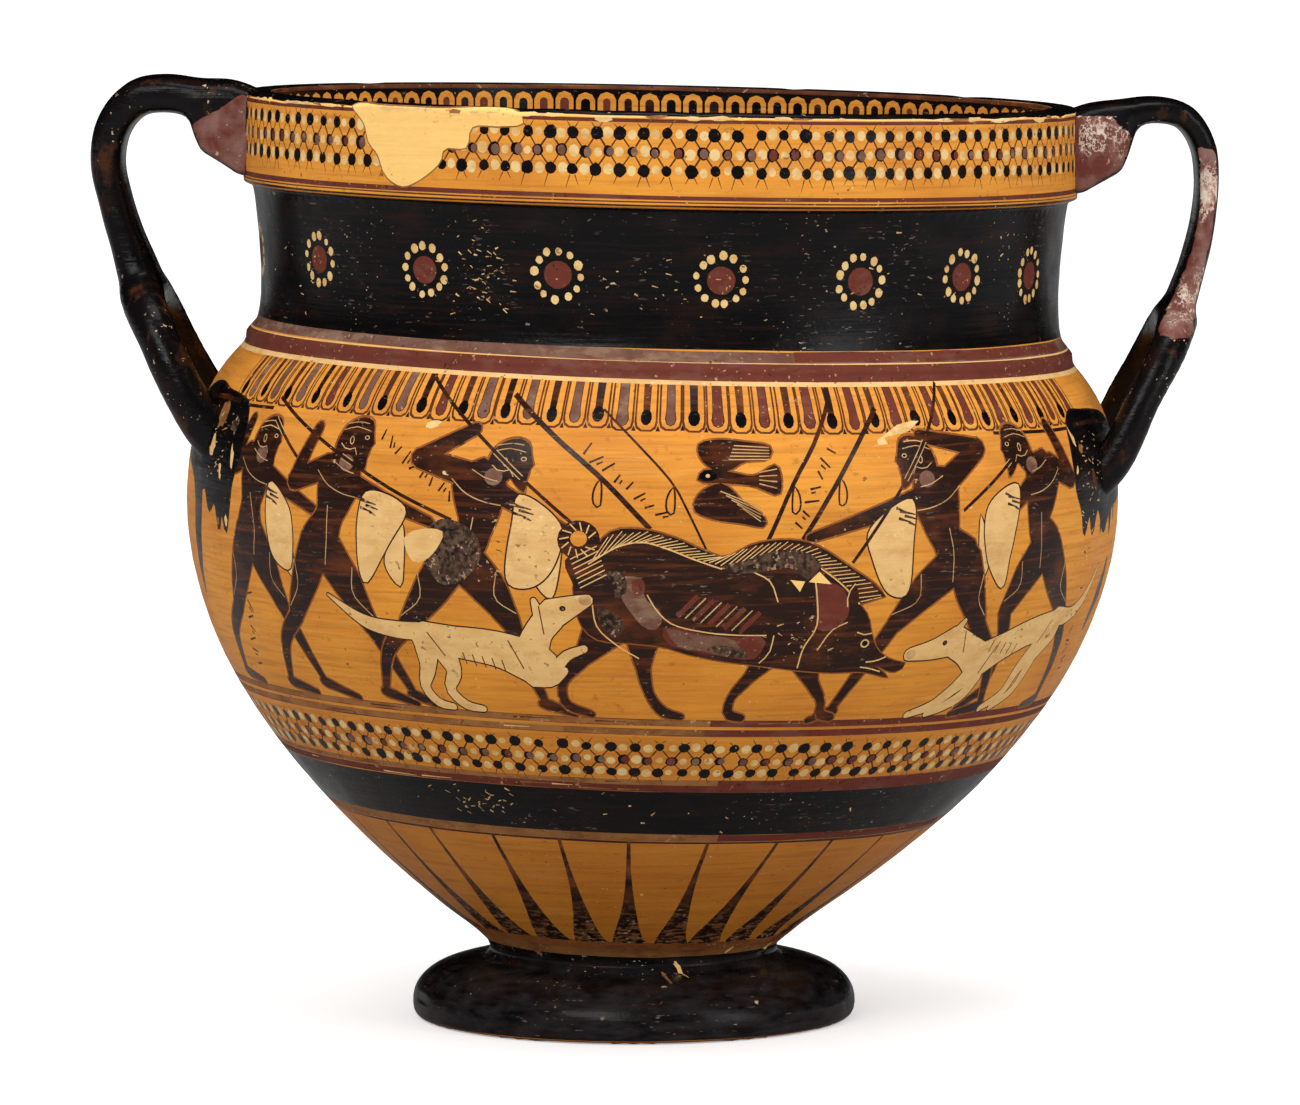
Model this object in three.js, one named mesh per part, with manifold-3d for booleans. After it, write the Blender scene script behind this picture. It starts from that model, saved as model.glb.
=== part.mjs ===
// A Greek column-necked krater with stirrup handles: a wide wine-mixing bowl of fired clay on
// a low disc foot, thrown as one wall with its neck and collar rim, and two handles joined on.
// Units are millimetres, +Z is up, and the handles stand on the X axis, over the foot's centre.

import * as THREE from "three";
import Module from "manifold-3d";
import { mergeVertices } from "three/addons/utils/BufferGeometryUtils.js";

// ---- driving dimensions ------------------------------------------------------------------
const SEGMENTS = 64; // facets round the thrown wall

const FOOT = { radius: 89, restRadius: 85.5, edgeHeight: 5.5, shoulderHeight: 22, topHeight: 23.8 };
const RECESS = { rimRadius: 70, radius: 52, depth: 12 }; // hollow under the foot
const STEM = { footRadius: 60, waistRadius: 57.4, topRadius: 58.2, topHeight: 30 };
const BODY = { radius: 185.8, widestHeight: 209 };
const SHOULDER = { topRadius: 166, topHeight: 265.5 };
const RING = { radius: 164.9, innerRadius: 160.6, height: 269.8, topHeight: 275.8 };
const NECK = { waistRadius: 159, waistHeight: 290, topRadius: 162.3, topHeight: 330 };
const RIM = { radius: 166.2, lipRadius: 165.6, height: 367.6, edge: 2.6, innerRadius: 154.4 };
const WALL = { bowl: 6.2, bowlLift: 3.2, neck: 7.6, floorHeight: 33 };

const LOOP = { spread: 48, flare: 3.4, swell: 1.6, sunk: 13 }; // the round bar of each handle
const SIDES = 12; // facets round a handle's section
const COPING = { halfWidth: 27, inset: 3 }; // the wedge that carries the strap on to the rim

// Each handle was rolled by hand: one is stouter, and its strap bows out further and lower.
const HANDLES = [
  { side: 1, barRadius: 7.4, rootHeight: 231, strapThickness: 9.6, bow: -0.6, droop: 0 },
  { side: -1, barRadius: 8.6, rootHeight: 238, strapThickness: 13.6, bow: 2.2, droop: 2.2 },
];

// The pot slumped a little in the kiln: its centre line wanders and its levels tilt about Y.
const LEAN = [[0, -7.6], [26, -7.6], [42, -10], [94, -5.7], [209, -0.1], [265, 2.6], [367, 3.3]];
const TILT_DEGREES = [[24, 0], [36, 1.6], [265, 1.7], [331, 1.25], [400, 1.25]];

// ---- curves ------------------------------------------------------------------------------
const point = (radius, height) => new THREE.Vector2(radius, height);

/** Points along a Bezier curve with three or four control points, its first one left out. */
function bezier(controls, steps) {
  const Curve = controls.length === 3 ? THREE.QuadraticBezierCurve : THREE.CubicBezierCurve;
  return new Curve(...controls).getPoints(steps).slice(1);
}

/** Straight-line interpolation in a list of [place, value] pairs, flat beyond both ends. */
function lookUp(table, place) {
  const next = table.findIndex(([at]) => at > place);
  if (next === 0) return table[0][1];
  if (next < 0) return table.at(-1)[1];
  const [from, low] = table[next - 1];
  const [to, high] = table[next];
  return low + ((high - low) * (place - from)) / (to - from);
}

// ---- the thrown wall ---------------------------------------------------------------------
function footProfile() {
  return [
    point(0, RECESS.depth),
    point(RECESS.radius, RECESS.depth),
    point(RECESS.rimRadius, 0),
    point(FOOT.restRadius, 0),
    ...bezier([
      point(FOOT.restRadius, 0),
      point(FOOT.radius - 0.5, 1),
      point(FOOT.radius, FOOT.edgeHeight),
    ], 2),
    ...bezier([
      point(FOOT.radius, FOOT.edgeHeight),
      point(FOOT.radius, FOOT.shoulderHeight),
      point(STEM.footRadius, FOOT.topHeight),
    ], 5),
    point(STEM.waistRadius, (FOOT.topHeight + STEM.topHeight) / 2),
    point(STEM.topRadius, STEM.topHeight),
  ];
}

/** The bowl, from the stem out to its widest level, and back in over the shoulder. */
function bowlProfile() {
  const stemEnd = point(STEM.topRadius, STEM.topHeight);
  const widest = point(BODY.radius, BODY.widestHeight);
  const shoulderEnd = point(SHOULDER.topRadius, SHOULDER.topHeight);
  const lower = [
    stemEnd,
    stemEnd.clone().add(point(13.5, 15)),
    widest.clone().add(point(0, -98)),
    widest,
  ];
  const upper = [
    widest,
    widest.clone().add(point(0.2, 27)),
    shoulderEnd.clone().add(point(11.5, -11.5)),
    shoulderEnd,
  ];
  return { lower, upper };
}

function neckProfile() {
  return [
    point(RING.radius, RING.height - 2),
    point(RING.radius, RING.height + 1),
    point(RING.innerRadius, RING.topHeight),
    ...bezier([
      point(RING.innerRadius, RING.topHeight),
      point(NECK.waistRadius - 2.5, NECK.waistHeight),
      point(NECK.topRadius, NECK.topHeight),
    ], 4),
  ];
}

function rimProfile() {
  const { radius, lipRadius, height, edge } = RIM;
  return [
    point(radius, NECK.topHeight + 1.5),
    point(lipRadius, height - edge),
    ...bezier([
      point(lipRadius, height - edge),
      point(lipRadius, height),
      point(lipRadius - edge, height),
    ], 2),
  ];
}

/** The space inside, from the middle of the floor up to the rim, and on a little above it. */
function cavityProfile({ lower, upper }) {
  const inset = (p) => point(p.x - WALL.bowl, p.y);
  const lifted = (p) => point(p.x - WALL.bowl, p.y + WALL.bowlLift);
  const bowl = bezier(lower, 6).slice(1, -1).map(lifted);
  const shoulder = [upper[0], ...bezier(upper, 4)].map(inset);
  const above = RIM.height + 5;
  return [
    point(0, WALL.floorHeight),
    point(STEM.topRadius * 0.72, WALL.floorHeight + 3),
    ...bowl,
    ...shoulder.map((p) => (p.y > RING.height - 6 ? point(p.x - 4, p.y) : p)),
    point(NECK.waistRadius - WALL.neck, NECK.waistHeight),
    point(NECK.topRadius - WALL.neck - 1, NECK.topHeight),
    point(RIM.innerRadius, RIM.height - 1.5),
    point(RIM.innerRadius + 1, RIM.height),
    point(RIM.innerRadius + 1, above),
    point(0, above),
  ];
}

/** A solid turned about Z, from a profile that runs up from the axis and back to the axis. */
function turned(outline) {
  // A lathe turns about Y, so it is stood up on Z.
  return new THREE.LatheGeometry(outline, SEGMENTS).rotateX(Math.PI / 2);
}

/** The pot's outer form, filled up to the rim. */
function outerGeometry(bowl) {
  return turned([
    ...footProfile(),
    ...bezier(bowl.lower, 9),
    ...bezier(bowl.upper, 5),
    ...neckProfile(),
    ...rimProfile(),
    point(0, RIM.height),
  ]);
}

// ---- the handles -------------------------------------------------------------------------
/** A closed skin over rings that each have the same number of points, with flat ends. */
function loft(rings) {
  const count = rings[0].length;
  const middle = (ring) => ring.reduce((sum, p) => sum.add(p), new THREE.Vector3()).divideScalar(count);
  const points = [...rings.flat(), middle(rings[0]), middle(rings.at(-1))];
  const firstCentre = rings.length * count;
  const faces = [];
  for (let side = 0; side < count; side += 1) {
    const next = (side + 1) % count;
    for (let ring = 0; ring < rings.length - 1; ring += 1) {
      const low = ring * count;
      const high = low + count;
      faces.push(low + side, low + next, high + next, low + side, high + next, high + side);
    }
    const last = (rings.length - 1) * count;
    faces.push(firstCentre, next, side, firstCentre + 1, last + side, last + next);
  }
  const geometry = new THREE.BufferGeometry();
  const places = points.flatMap((point) => point.toArray());
  geometry.setAttribute("position", new THREE.Float32BufferAttribute(places, 3));
  geometry.setIndex(faces);
  return geometry;
}

/** A ring about a centre, across the direction of travel; power 2 is round, more is squarer. */
function sectionRing(centre, direction, flatAxis, halfAcross, halfFlat, power) {
  const across = new THREE.Vector3().crossVectors(flatAxis, direction).normalize();
  const along = new THREE.Vector3().crossVectors(direction, across).normalize();
  const round = (value) => Math.sign(value) * Math.abs(value) ** (2 / power);
  return Array.from({ length: SIDES }, (_, side) => {
    const angle = (2 * Math.PI * side) / SIDES;
    return centre.clone()
      .addScaledVector(across, halfAcross * round(Math.cos(angle)))
      .addScaledVector(along, halfFlat * round(Math.sin(angle)));
  });
}

/** The round bar: up and out from one root on the shoulder, across, and back to the other. */
function loopGeometry({ side, barRadius, rootHeight }) {
  const half = [
    [179 - LOOP.sunk, 0.93, rootHeight - LOOP.sunk],
    [179.5, 1, rootHeight],
    [191, 0.97, 256],
    [200.5, 0.8, 275],
    [204.8, 0.42, 284],
  ];
  const mirrored = half.map(([x, share, z]) => [x, -share, z]).reverse();
  const stations = [...half, [205.5, 0, 285], ...mirrored];
  const curve = new THREE.CatmullRomCurve3(
    stations.map(([x, share, z]) => new THREE.Vector3(side * x, share * LOOP.spread, z)),
  );
  const steps = 16;
  const rings = Array.from({ length: steps + 1 }, (_, step) => {
    const share = step / steps;
    const fromRoot = Math.min(share, 1 - share) * 2;
    const flare = LOOP.flare * Math.max(0, 1 - fromRoot / 0.4) ** 2;
    const swell = LOOP.swell * Math.max(0, (fromRoot - 0.5) / 0.5);
    const direction = curve.getTangent(share);
    const outward = new THREE.Vector3(side, 0, -0.5);
    const radius = barRadius + flare + swell;
    return sectionRing(curve.getPoint(share), direction, outward, radius, radius, 2);
  });
  return loft(rings);
}

/** The flat strap: from the top of the bar up beside the neck, over, and on to the rim. */
function strapGeometry({ side, strapThickness, bow, droop }) {
  // place from the axis, height, thickness as a share, and breadth
  const stations = [
    [203, 278, 1.3, 52],
    [207.5, 292, 1.25, 47],
    [212, 306, 1.05, 43],
    [216, 322, 0.98, 40],
    [217.8, 339, 1, 40],
    [215.6, 354.5, 1.05, 42],
    [208, 364.8, 1.12, 46],
    [197, 367.2, 1.15, 50],
    [184, 365.6, 1.15, 53],
    [171, 363.6, 1.15, 54],
    [157.5, 358.5, 1.1, 54],
  ];
  const curve = new THREE.CatmullRomCurve3(stations.map(([x, z]) => {
    const bowed = bow * Math.exp(-(((z - 344) / 20) ** 2)) * (x > 205 ? 1 : 0);
    const nearTop = THREE.MathUtils.smoothstep(z, 300, 350) * THREE.MathUtils.smoothstep(x, 165, 190);
    return new THREE.Vector3(side * (x + bowed), 0, z - droop * nearTop);
  }));
  const steps = 20;
  const rings = Array.from({ length: steps + 1 }, (_, step) => {
    const share = step / steps;
    const place = share * (stations.length - 1);
    const station = stations[Math.floor(place)];
    const following = stations[Math.min(Math.floor(place) + 1, stations.length - 1)];
    const blend = place % 1;
    const thickness = THREE.MathUtils.lerp(station[2], following[2], blend) * strapThickness;
    const breadth = THREE.MathUtils.lerp(station[3], following[3], blend);
    const centre = curve.getPoint(share);
    const direction = curve.getTangent(share);
    const flatAxis = new THREE.Vector3(0, 1, 0);
    return sectionRing(centre, direction, flatAxis, thickness / 2, breadth / 2, 4.5);
  });
  return loft(rings);
}

/** The wedge under the strap's end, as high as the rim at its root. */
function copingGeometry({ side }) {
  const outline = [
    [157, 333.5], [166.5, 333.5], [174, 338], [182.5, 343], [185.5, 350],
    [188, 358], [188, 366], [157, 364],
  ];
  const ring = (y, share) => outline.map(([x, z]) => (
    new THREE.Vector3(side * (x - (x > 167 ? share : 0)), y, z)
  ));
  const edge = COPING.halfWidth;
  const rings = [
    ring(-edge, COPING.inset), ring(COPING.inset - edge, 0),
    ring(edge - COPING.inset, 0), ring(edge, COPING.inset),
  ];
  return loft(side > 0 ? rings.reverse() : rings);
}

// ---- joining and slumping ----------------------------------------------------------------
const wasm = await Module();
wasm.setup();

function solidOf(geometry) {
  const bare = geometry.clone();
  bare.deleteAttribute("normal");
  bare.deleteAttribute("uv");
  const merged = mergeVertices(bare, 1e-4);
  return new wasm.Manifold(new wasm.Mesh({
    numProp: 3,
    vertProperties: Float32Array.from(merged.attributes.position.array),
    triVerts: Uint32Array.from(merged.index.array),
  }));
}

function geometryOf(solid) {
  const mesh = solid.getMesh();
  const geometry = new THREE.BufferGeometry();
  const places = Float32Array.from(mesh.vertProperties);
  geometry.setAttribute("position", new THREE.BufferAttribute(places, 3));
  geometry.setIndex(new THREE.BufferAttribute(Uint32Array.from(mesh.triVerts), 1));
  return geometry;
}

/** Moves every point as the kiln did, then centres the pot's box on the Z axis. */
function slump(geometry) {
  const places = geometry.attributes.position;
  for (let index = 0; index < places.count; index += 1) {
    const x = places.getX(index);
    const z = places.getZ(index);
    const tilt = THREE.MathUtils.degToRad(lookUp(TILT_DEGREES, z));
    places.setX(index, x + lookUp(LEAN, z));
    places.setZ(index, z - x * Math.tan(tilt));
  }
  geometry.computeBoundingBox();
  const centre = geometry.boundingBox.getCenter(new THREE.Vector3());
  geometry.translate(-centre.x, -centre.y, 0);
  geometry.computeVertexNormals();
  return geometry;
}

/** The handles are joined to the filled form before it is hollowed, so none shows inside. */
function kraterGeometry() {
  const bowl = bowlProfile();
  let solid = solidOf(outerGeometry(bowl));
  for (const handle of HANDLES) {
    for (const part of [loopGeometry(handle), strapGeometry(handle), copingGeometry(handle)]) {
      solid = solid.add(solidOf(part));
    }
  }
  return slump(geometryOf(solid.subtract(solidOf(turned(cavityProfile(bowl))))));
}

const krater = new THREE.Mesh(
  kraterGeometry(),
  new THREE.MeshStandardMaterial({ color: 0xc77f38, roughness: 0.45, metalness: 0 }),
);
krater.name = "krater";

const pot = new THREE.Group();
pot.add(krater);
export default pot;
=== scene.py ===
"""A Greek column-necked krater of fired clay, painted in black gloss, purple-red and cream.

The wall is one skin laid out flat: u runs round the pot, in millimetres at its widest level, and
s runs up the outside, over the lip and down the inside. The painting is drawn as outlines on that
sheet, the sheet is cut into triangles along them, and then it is rolled up into the pot.
"""

import math
import random

import bpy
import numpy as np
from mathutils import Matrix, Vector, kdtree
from mathutils.geometry import delaunay_2d_cdt


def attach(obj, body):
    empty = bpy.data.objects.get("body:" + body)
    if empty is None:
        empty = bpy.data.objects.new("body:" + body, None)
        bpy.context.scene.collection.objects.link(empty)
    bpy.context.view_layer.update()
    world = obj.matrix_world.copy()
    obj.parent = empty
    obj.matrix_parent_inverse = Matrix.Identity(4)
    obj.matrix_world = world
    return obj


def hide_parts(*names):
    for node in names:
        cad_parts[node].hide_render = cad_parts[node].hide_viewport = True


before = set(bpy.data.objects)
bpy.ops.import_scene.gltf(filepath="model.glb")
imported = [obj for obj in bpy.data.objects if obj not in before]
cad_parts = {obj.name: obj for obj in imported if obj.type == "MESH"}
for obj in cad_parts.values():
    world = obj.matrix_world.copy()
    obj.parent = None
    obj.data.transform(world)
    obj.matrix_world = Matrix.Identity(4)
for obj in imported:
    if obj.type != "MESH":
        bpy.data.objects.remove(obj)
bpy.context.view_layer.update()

MM = 0.001
TURN = 2 * math.pi

# ---- the pot's sizes, in millimetres, as in the part's source
FOOT_RADIUS, FOOT_REST, FOOT_EDGE, FOOT_SHOULDER, FOOT_TOP = 89, 85.5, 5.5, 22, 23.8
RECESS_RIM, RECESS_RADIUS, RECESS_DEPTH = 70, 52, 12
STEM_FOOT, STEM_WAIST, STEM_TOP, STEM_HEIGHT = 60, 57.4, 58.2, 30
BODY_RADIUS, BODY_HEIGHT = 185.8, 209
SHOULDER_RADIUS, SHOULDER_HEIGHT = 166, 265.5
RING_RADIUS, RING_INNER, RING_HEIGHT, RING_TOP = 164.9, 160.6, 269.8, 275.8
NECK_WAIST, NECK_WAIST_HEIGHT, NECK_RADIUS, NECK_HEIGHT = 159, 290, 162.3, 330
RIM_RADIUS, LIP_RADIUS, RIM_HEIGHT, LIP_EDGE, RIM_INNER = 166.2, 165.6, 367.6, 2.6, 154.4
WALL_BOWL, WALL_LIFT, WALL_NECK, FLOOR_HEIGHT = 6.2, 3.2, 7.6, 33
LEAN = [(0, -7.6), (26, -7.6), (42, -10), (94, -5.7), (209, -0.1), (265, 2.6), (367, 3.3)]
TILT_DEGREES = [(24, 0), (36, 1.6), (265, 1.7), (331, 1.25), (400, 1.25)]

LOOP_SPREAD, LOOP_FLARE, LOOP_SWELL, LOOP_SUNK = 48, 3.4, 1.6, 13
COPING_HALF, COPING_INSET = 27, 3
HANDLES = [
    {"side": 1, "bar": 7.4, "root": 231, "strap": 9.6, "bow": -0.6, "droop": 0},
    {"side": -1, "bar": 8.6, "root": 238, "strap": 13.6, "bow": 2.2, "droop": 2.2},
]
LOOP_END, LOOP_ROOT = 166, 179.5  # from the axis: where the bar ends in the wall, and its root
LOOP_UPPER = [(191, 0.97, 256), (200.5, 0.8, 275), (204.8, 0.42, 284), (205.5, 0, 285)]
BOW_HEIGHT = 344  # where a strap bows out most
DROOP_FROM = (165, 300)  # from the axis, and height: where a strap's droop begins
SEAT_CHANGE, SEAT_NECK, SEAT_BOWL = 272, 5.0, 3.0  # how deep handles end, above a height and below
STRAP_STATIONS = [  # place from the axis, height, thickness as a share, breadth
    (203, 278, 1.3, 52), (207.5, 292, 1.25, 47), (212, 306, 1.05, 43), (216, 322, 0.98, 40),
    (217.8, 339, 1, 40), (215.6, 354.5, 1.05, 42), (208, 364.8, 1.12, 46), (197, 367.2, 1.15, 50),
    (184, 365.6, 1.15, 53), (171, 363.6, 1.15, 54), (157.5, 358.5, 1.1, 54),
]
COPING_OUTLINE = [
    (157, 333.5), (166.5, 333.5), (174, 338), (182.5, 343), (185.5, 350),
    (188, 358), (188, 366), (157, 364),
]

# ---- how the sheet is cut
ROUND = TURN * BODY_RADIUS  # the sheet's width
SAMPLE = 0.25  # between the outline's stored points
SOFTNESS = 0.5  # how far the outline's corners are worn round
CELL = 5.7  # a mesh cell on the painted outside
INNER_CELL = 11.0  # and on the inside
ROW_SHARE = 0.87  # how far apart rows of cells stand, as a share of a cell
CORNER_ROW = 1.1  # from a corner to the row that keeps its shading from spreading
STEP = 5.0  # the longest straight piece of a painted outline
BAND_STEP = 8.0  # and of a band's edge
HANDLE_AT = ROUND / 4  # where each handle stands, from the front
HANDLE_VOXEL = 2.25  # how finely the handles are melted together

# ---- the painting's levels, in millimetres above the foot
GROUND_LINE = 137.6
TONGUE_FOOT, TONGUE_TOP = 247.6, 264.6
RIM_NET = {"rows": (359.3, 352.2, 345.3), "pairs": 116}
LOWER_NET = {"rows": (125.2, 119.7, 114.7), "pairs": 105}
TONGUES = 122
RAYS = 27
ROSETTES, ROSETTE_LEVEL = [-182, -112, -46, 27, 93, 152, 210], 304.5  # those in front, listed one by one
ARCHES, ARCH_FOOT, ARCH_TOP = 108, 353.5, 364.4


# ---- curves
def bezier(controls, count=80):
    """Points along a Bezier curve with any number of control points."""
    share = np.linspace(0, 1, count)[:, None]
    rows = [np.ones_like(share) * np.array(c, float) for c in controls]
    while len(rows) > 1:
        rows = [(1 - share) * a + share * b for a, b in zip(rows, rows[1:])]
    return rows[0]


def line(start, end):
    """A straight line with the points that the outline's resampling needs."""
    return bezier([start, end], 40)


def lengths(points):
    """How far along the line through them each point lies."""
    steps = np.linalg.norm(np.diff(points, axis=0), axis=1)
    return np.concatenate([[0], np.cumsum(steps)])


def resampled(points, spacing, closed=False):
    """The same line with a point about every spacing."""
    points = np.asarray(points, float)
    if closed:
        points = np.vstack([points, points[:1]])
    along = lengths(points)
    count = max(2, int(round(along[-1] / spacing)) + 1)
    places = np.linspace(0, along[-1], count)
    even = np.stack([np.interp(places, along, points[:, k]) for k in range(points.shape[1])], 1)
    return even[:-1] if closed else even


def catmull_rom(points, share):
    """The centripetal Catmull-Rom curve through points, at share of the way by point number."""
    points = np.asarray(points, float)
    last = len(points) - 1
    place = min(max(share * last, 0), last)
    index = min(int(place), last - 1)
    t = place - index
    before = points[index - 1] if index else 2 * points[0] - points[1]
    after = points[index + 2] if index + 2 <= last else 2 * points[-1] - points[-2]
    p = [before, points[index], points[index + 1], after]
    d0, d1, d2 = (max(np.linalg.norm(b - a), 1e-6) ** 0.5 for a, b in zip(p, p[1:]))
    out = (p[1] - p[0]) / d0 - (p[2] - p[0]) / (d0 + d1) + (p[2] - p[1]) / d1
    into = (p[2] - p[1]) / d1 - (p[3] - p[1]) / (d1 + d2) + (p[3] - p[2]) / d2
    out, into = out * d1, into * d1
    rise = p[2] - p[1]
    return p[1] + out * t + (3 * rise - 2 * out - into) * t**2 + (out + into - 2 * rise) * t**3


def smooth_line(points, spacing=2.4, closed=False):
    """A smooth line through points, with a point about every spacing."""
    points = np.asarray(points, float)
    if closed:
        looped = np.vstack([points[-2:], points, points[:3]])
        shares = np.linspace(2, 2 + len(points), 8 * len(points) + 1) / (len(looped) - 1)
        dense = np.array([catmull_rom(looped, s) for s in shares])[:-1]
        return resampled(dense, spacing, closed=True)
    shares = np.linspace(0, 1, 8 * (len(points) - 1) + 1)
    return resampled(np.array([catmull_rom(points, s) for s in shares]), spacing)


# ---- the wall's outline
def wall_stretches():
    """The outline from under the foot, up the outside, over the lip and down to the floor.

    Each stretch is its name, its points, how far apart its rows of mesh points are and its cell."""
    foot_middle = 5
    stem_end = (STEM_TOP, STEM_HEIGHT)
    widest = (BODY_RADIUS, BODY_HEIGHT)
    shoulder = (SHOULDER_RADIUS, SHOULDER_HEIGHT)
    lower = bezier([stem_end, (STEM_TOP + 13.5, STEM_HEIGHT + 15),
                    (BODY_RADIUS, BODY_HEIGHT - 98), widest], 300)
    upper = bezier([widest, (BODY_RADIUS + 0.2, BODY_HEIGHT + 27),
                    (SHOULDER_RADIUS + 11.5, SHOULDER_HEIGHT - 11.5), shoulder], 160)
    neck_top = (NECK_RADIUS, NECK_HEIGHT)
    waist = bezier([(RING_INNER, RING_TOP), (NECK_WAIST - 2.5, NECK_WAIST_HEIGHT), neck_top], 120)
    lip = bezier([(LIP_RADIUS, RIM_HEIGHT - LIP_EDGE), (LIP_RADIUS, RIM_HEIGHT),
                  (LIP_RADIUS - LIP_EDGE, RIM_HEIGHT)], 30)
    inner_lip = (RIM_INNER + 1, RIM_HEIGHT)
    inner_edge = (RIM_INNER, RIM_HEIGHT - 1.5)
    inner_neck = (NECK_RADIUS - WALL_NECK - 1, NECK_HEIGHT)
    inner_waist = (NECK_WAIST - WALL_NECK, NECK_WAIST_HEIGHT)
    inner_shoulder = (upper - [WALL_BOWL, 0])[::-1]
    inner_shoulder = inner_shoulder[inner_shoulder[:, 1] < RING_HEIGHT - 12]
    inner_bowl = (lower + [-WALL_BOWL, WALL_LIFT])[::-1]
    inner_bowl = inner_bowl[(inner_bowl[:, 1] < BODY_HEIGHT - 6) & (inner_bowl[:, 0] > 62)]
    floor_edge = (STEM_TOP * 0.72, FLOOR_HEIGHT + 3)
    foot_side, foot_shoulder = (FOOT_RADIUS, FOOT_EDGE), (FOOT_RADIUS, FOOT_SHOULDER)
    stem_waist = (STEM_WAIST, (FOOT_TOP + STEM_HEIGHT) / 2)
    ring_low, ring_high = (RING_RADIUS, RING_HEIGHT - 2), (RING_RADIUS, RING_HEIGHT + 1)
    rim_foot, rim_top = (RIM_RADIUS, NECK_HEIGHT + 1.5), (LIP_RADIUS, RIM_HEIGHT - LIP_EDGE)
    outer_row = CELL * ROW_SHARE
    return [
        ("recess", line((foot_middle, RECESS_DEPTH), (RECESS_RADIUS, RECESS_DEPTH)), 12, 12),
        ("recess wall", line((RECESS_RADIUS, RECESS_DEPTH), (RECESS_RIM, 0)), 6, 8),
        ("rest", line((RECESS_RIM, 0), (FOOT_REST, 0)), 5, 8),
        ("foot edge", bezier([(FOOT_REST, 0), (FOOT_RADIUS - 0.5, 1), foot_side]), 1.4, 6),
        ("foot", bezier([foot_side, foot_shoulder, (STEM_FOOT, FOOT_TOP)]), 2.4, 5),
        ("stem foot", line((STEM_FOOT, FOOT_TOP), stem_waist), 1.3, 5),
        ("stem", line(stem_waist, stem_end), 1.5, 5),
        ("bowl", lower, outer_row, CELL),
        ("shoulder", upper, outer_row, CELL),
        ("step", line(shoulder, ring_low), 1.2, CELL),
        ("ring", line(ring_low, ring_high), 1.5, CELL),
        ("ring top", line(ring_high, (RING_INNER, RING_TOP)), 1.5, CELL),
        ("neck", waist, outer_row, CELL),
        ("rim step", line(neck_top, rim_foot), 1.0, CELL),
        ("rim", line(rim_foot, rim_top), outer_row, CELL),
        ("lip", lip, 0.9, CELL),
        ("lip top", line((LIP_RADIUS - LIP_EDGE, RIM_HEIGHT), inner_lip), 3.8, CELL),
        ("inner lip", line(inner_lip, inner_edge), 0.9, CELL),
        ("inner rim", line(inner_edge, inner_neck), 6, 7),
        ("inner neck", line(inner_neck, inner_waist), INNER_CELL, INNER_CELL),
        ("inner step", line(inner_waist, inner_shoulder[0]), INNER_CELL, INNER_CELL),
        ("inner shoulder", inner_shoulder, INNER_CELL, INNER_CELL),
        ("inner bowl", inner_bowl, INNER_CELL, INNER_CELL),
        ("floor bend", line(inner_bowl[-1], floor_edge), 8, INNER_CELL),
        ("floor", line(floor_edge, (foot_middle, FLOOR_HEIGHT)), 12, 12),
    ]


STRETCHES = wall_stretches()


def joined_outline():
    """The whole outline's points every SAMPLE along it, its corners worn round."""
    points = np.vstack([points for _, points, _, _ in STRETCHES])
    along = lengths(points)
    keep = np.concatenate([[True], np.diff(along) > 1e-9])
    points, along = points[keep], along[keep]
    places = np.arange(0, along[-1], SAMPLE)
    even = np.stack([np.interp(places, along, points[:, k]) for k in (0, 1)], 1)
    reach = int(4 * SOFTNESS / SAMPLE)
    weights = np.exp(-0.5 * (np.arange(-reach, reach + 1) * SAMPLE / SOFTNESS) ** 2)
    weights /= weights.sum()
    padded = np.pad(even, ((reach, reach), (0, 0)), mode="edge")
    soft = np.stack([np.convolve(padded[:, k], weights, "valid") for k in (0, 1)], 1)
    return places, soft[:, 0], soft[:, 1]


OUTLINE_S, OUTLINE_R, OUTLINE_Z = joined_outline()


def stretch_places():
    """Where each stretch starts and ends along the outline, by name."""
    places, at, last = {}, 0.0, None
    for name, points, _, _ in STRETCHES:
        if last is not None:
            at += float(np.linalg.norm(points[0] - last))
        length = lengths(points)[-1]
        places[name] = (at, min(at + length, OUTLINE_S[-1]))
        at, last = at + length, points[-1]
    return places


PLACES = stretch_places()
OUTSIDE = (PLACES["foot edge"][0], PLACES["lip"][1])
INSIDE = (PLACES["inner lip"][0], PLACES["floor"][1])


def outside_at(height):
    """How far along the outline the outside reaches a height."""
    part = (OUTLINE_S >= OUTSIDE[0]) & (OUTLINE_S <= OUTSIDE[1])
    return np.interp(height, np.maximum.accumulate(OUTLINE_Z[part]), OUTLINE_S[part])


def inside_at(height):
    """How far along the outline the inside comes down to a height."""
    part = (OUTLINE_S >= INSIDE[0]) & (OUTLINE_S <= INSIDE[1])
    return np.interp(-height, np.maximum.accumulate(-OUTLINE_Z[part]), OUTLINE_S[part])


def radius_at(s):
    """The pot's radius at a place along the outline."""
    return np.interp(s, OUTLINE_S, OUTLINE_R)


# ---- from the sheet to the pot
def centring(node):
    """How far the source moved the slumped pot along X to centre its box, read from the foot."""
    xs = [v.co.x for v in node.data.vertices if v.co.z < 0.3 * MM]
    return (min(xs) + max(xs)) / 2 / MM - LEAN[0][1]


SHIFT = centring(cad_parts["krater"])


def slumped(points):
    """Points as the kiln moved them: the centre line wanders and the levels tilt about Y."""
    points = np.asarray(points, float)
    x, z = points[..., 0], points[..., 2]
    tilt = np.radians(np.interp(z, *np.array(TILT_DEGREES, float).T))
    lean = np.interp(z, *np.array(LEAN, float).T)
    return np.stack([x + lean + SHIFT, points[..., 1], z - x * np.tan(tilt)], -1)


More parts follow.
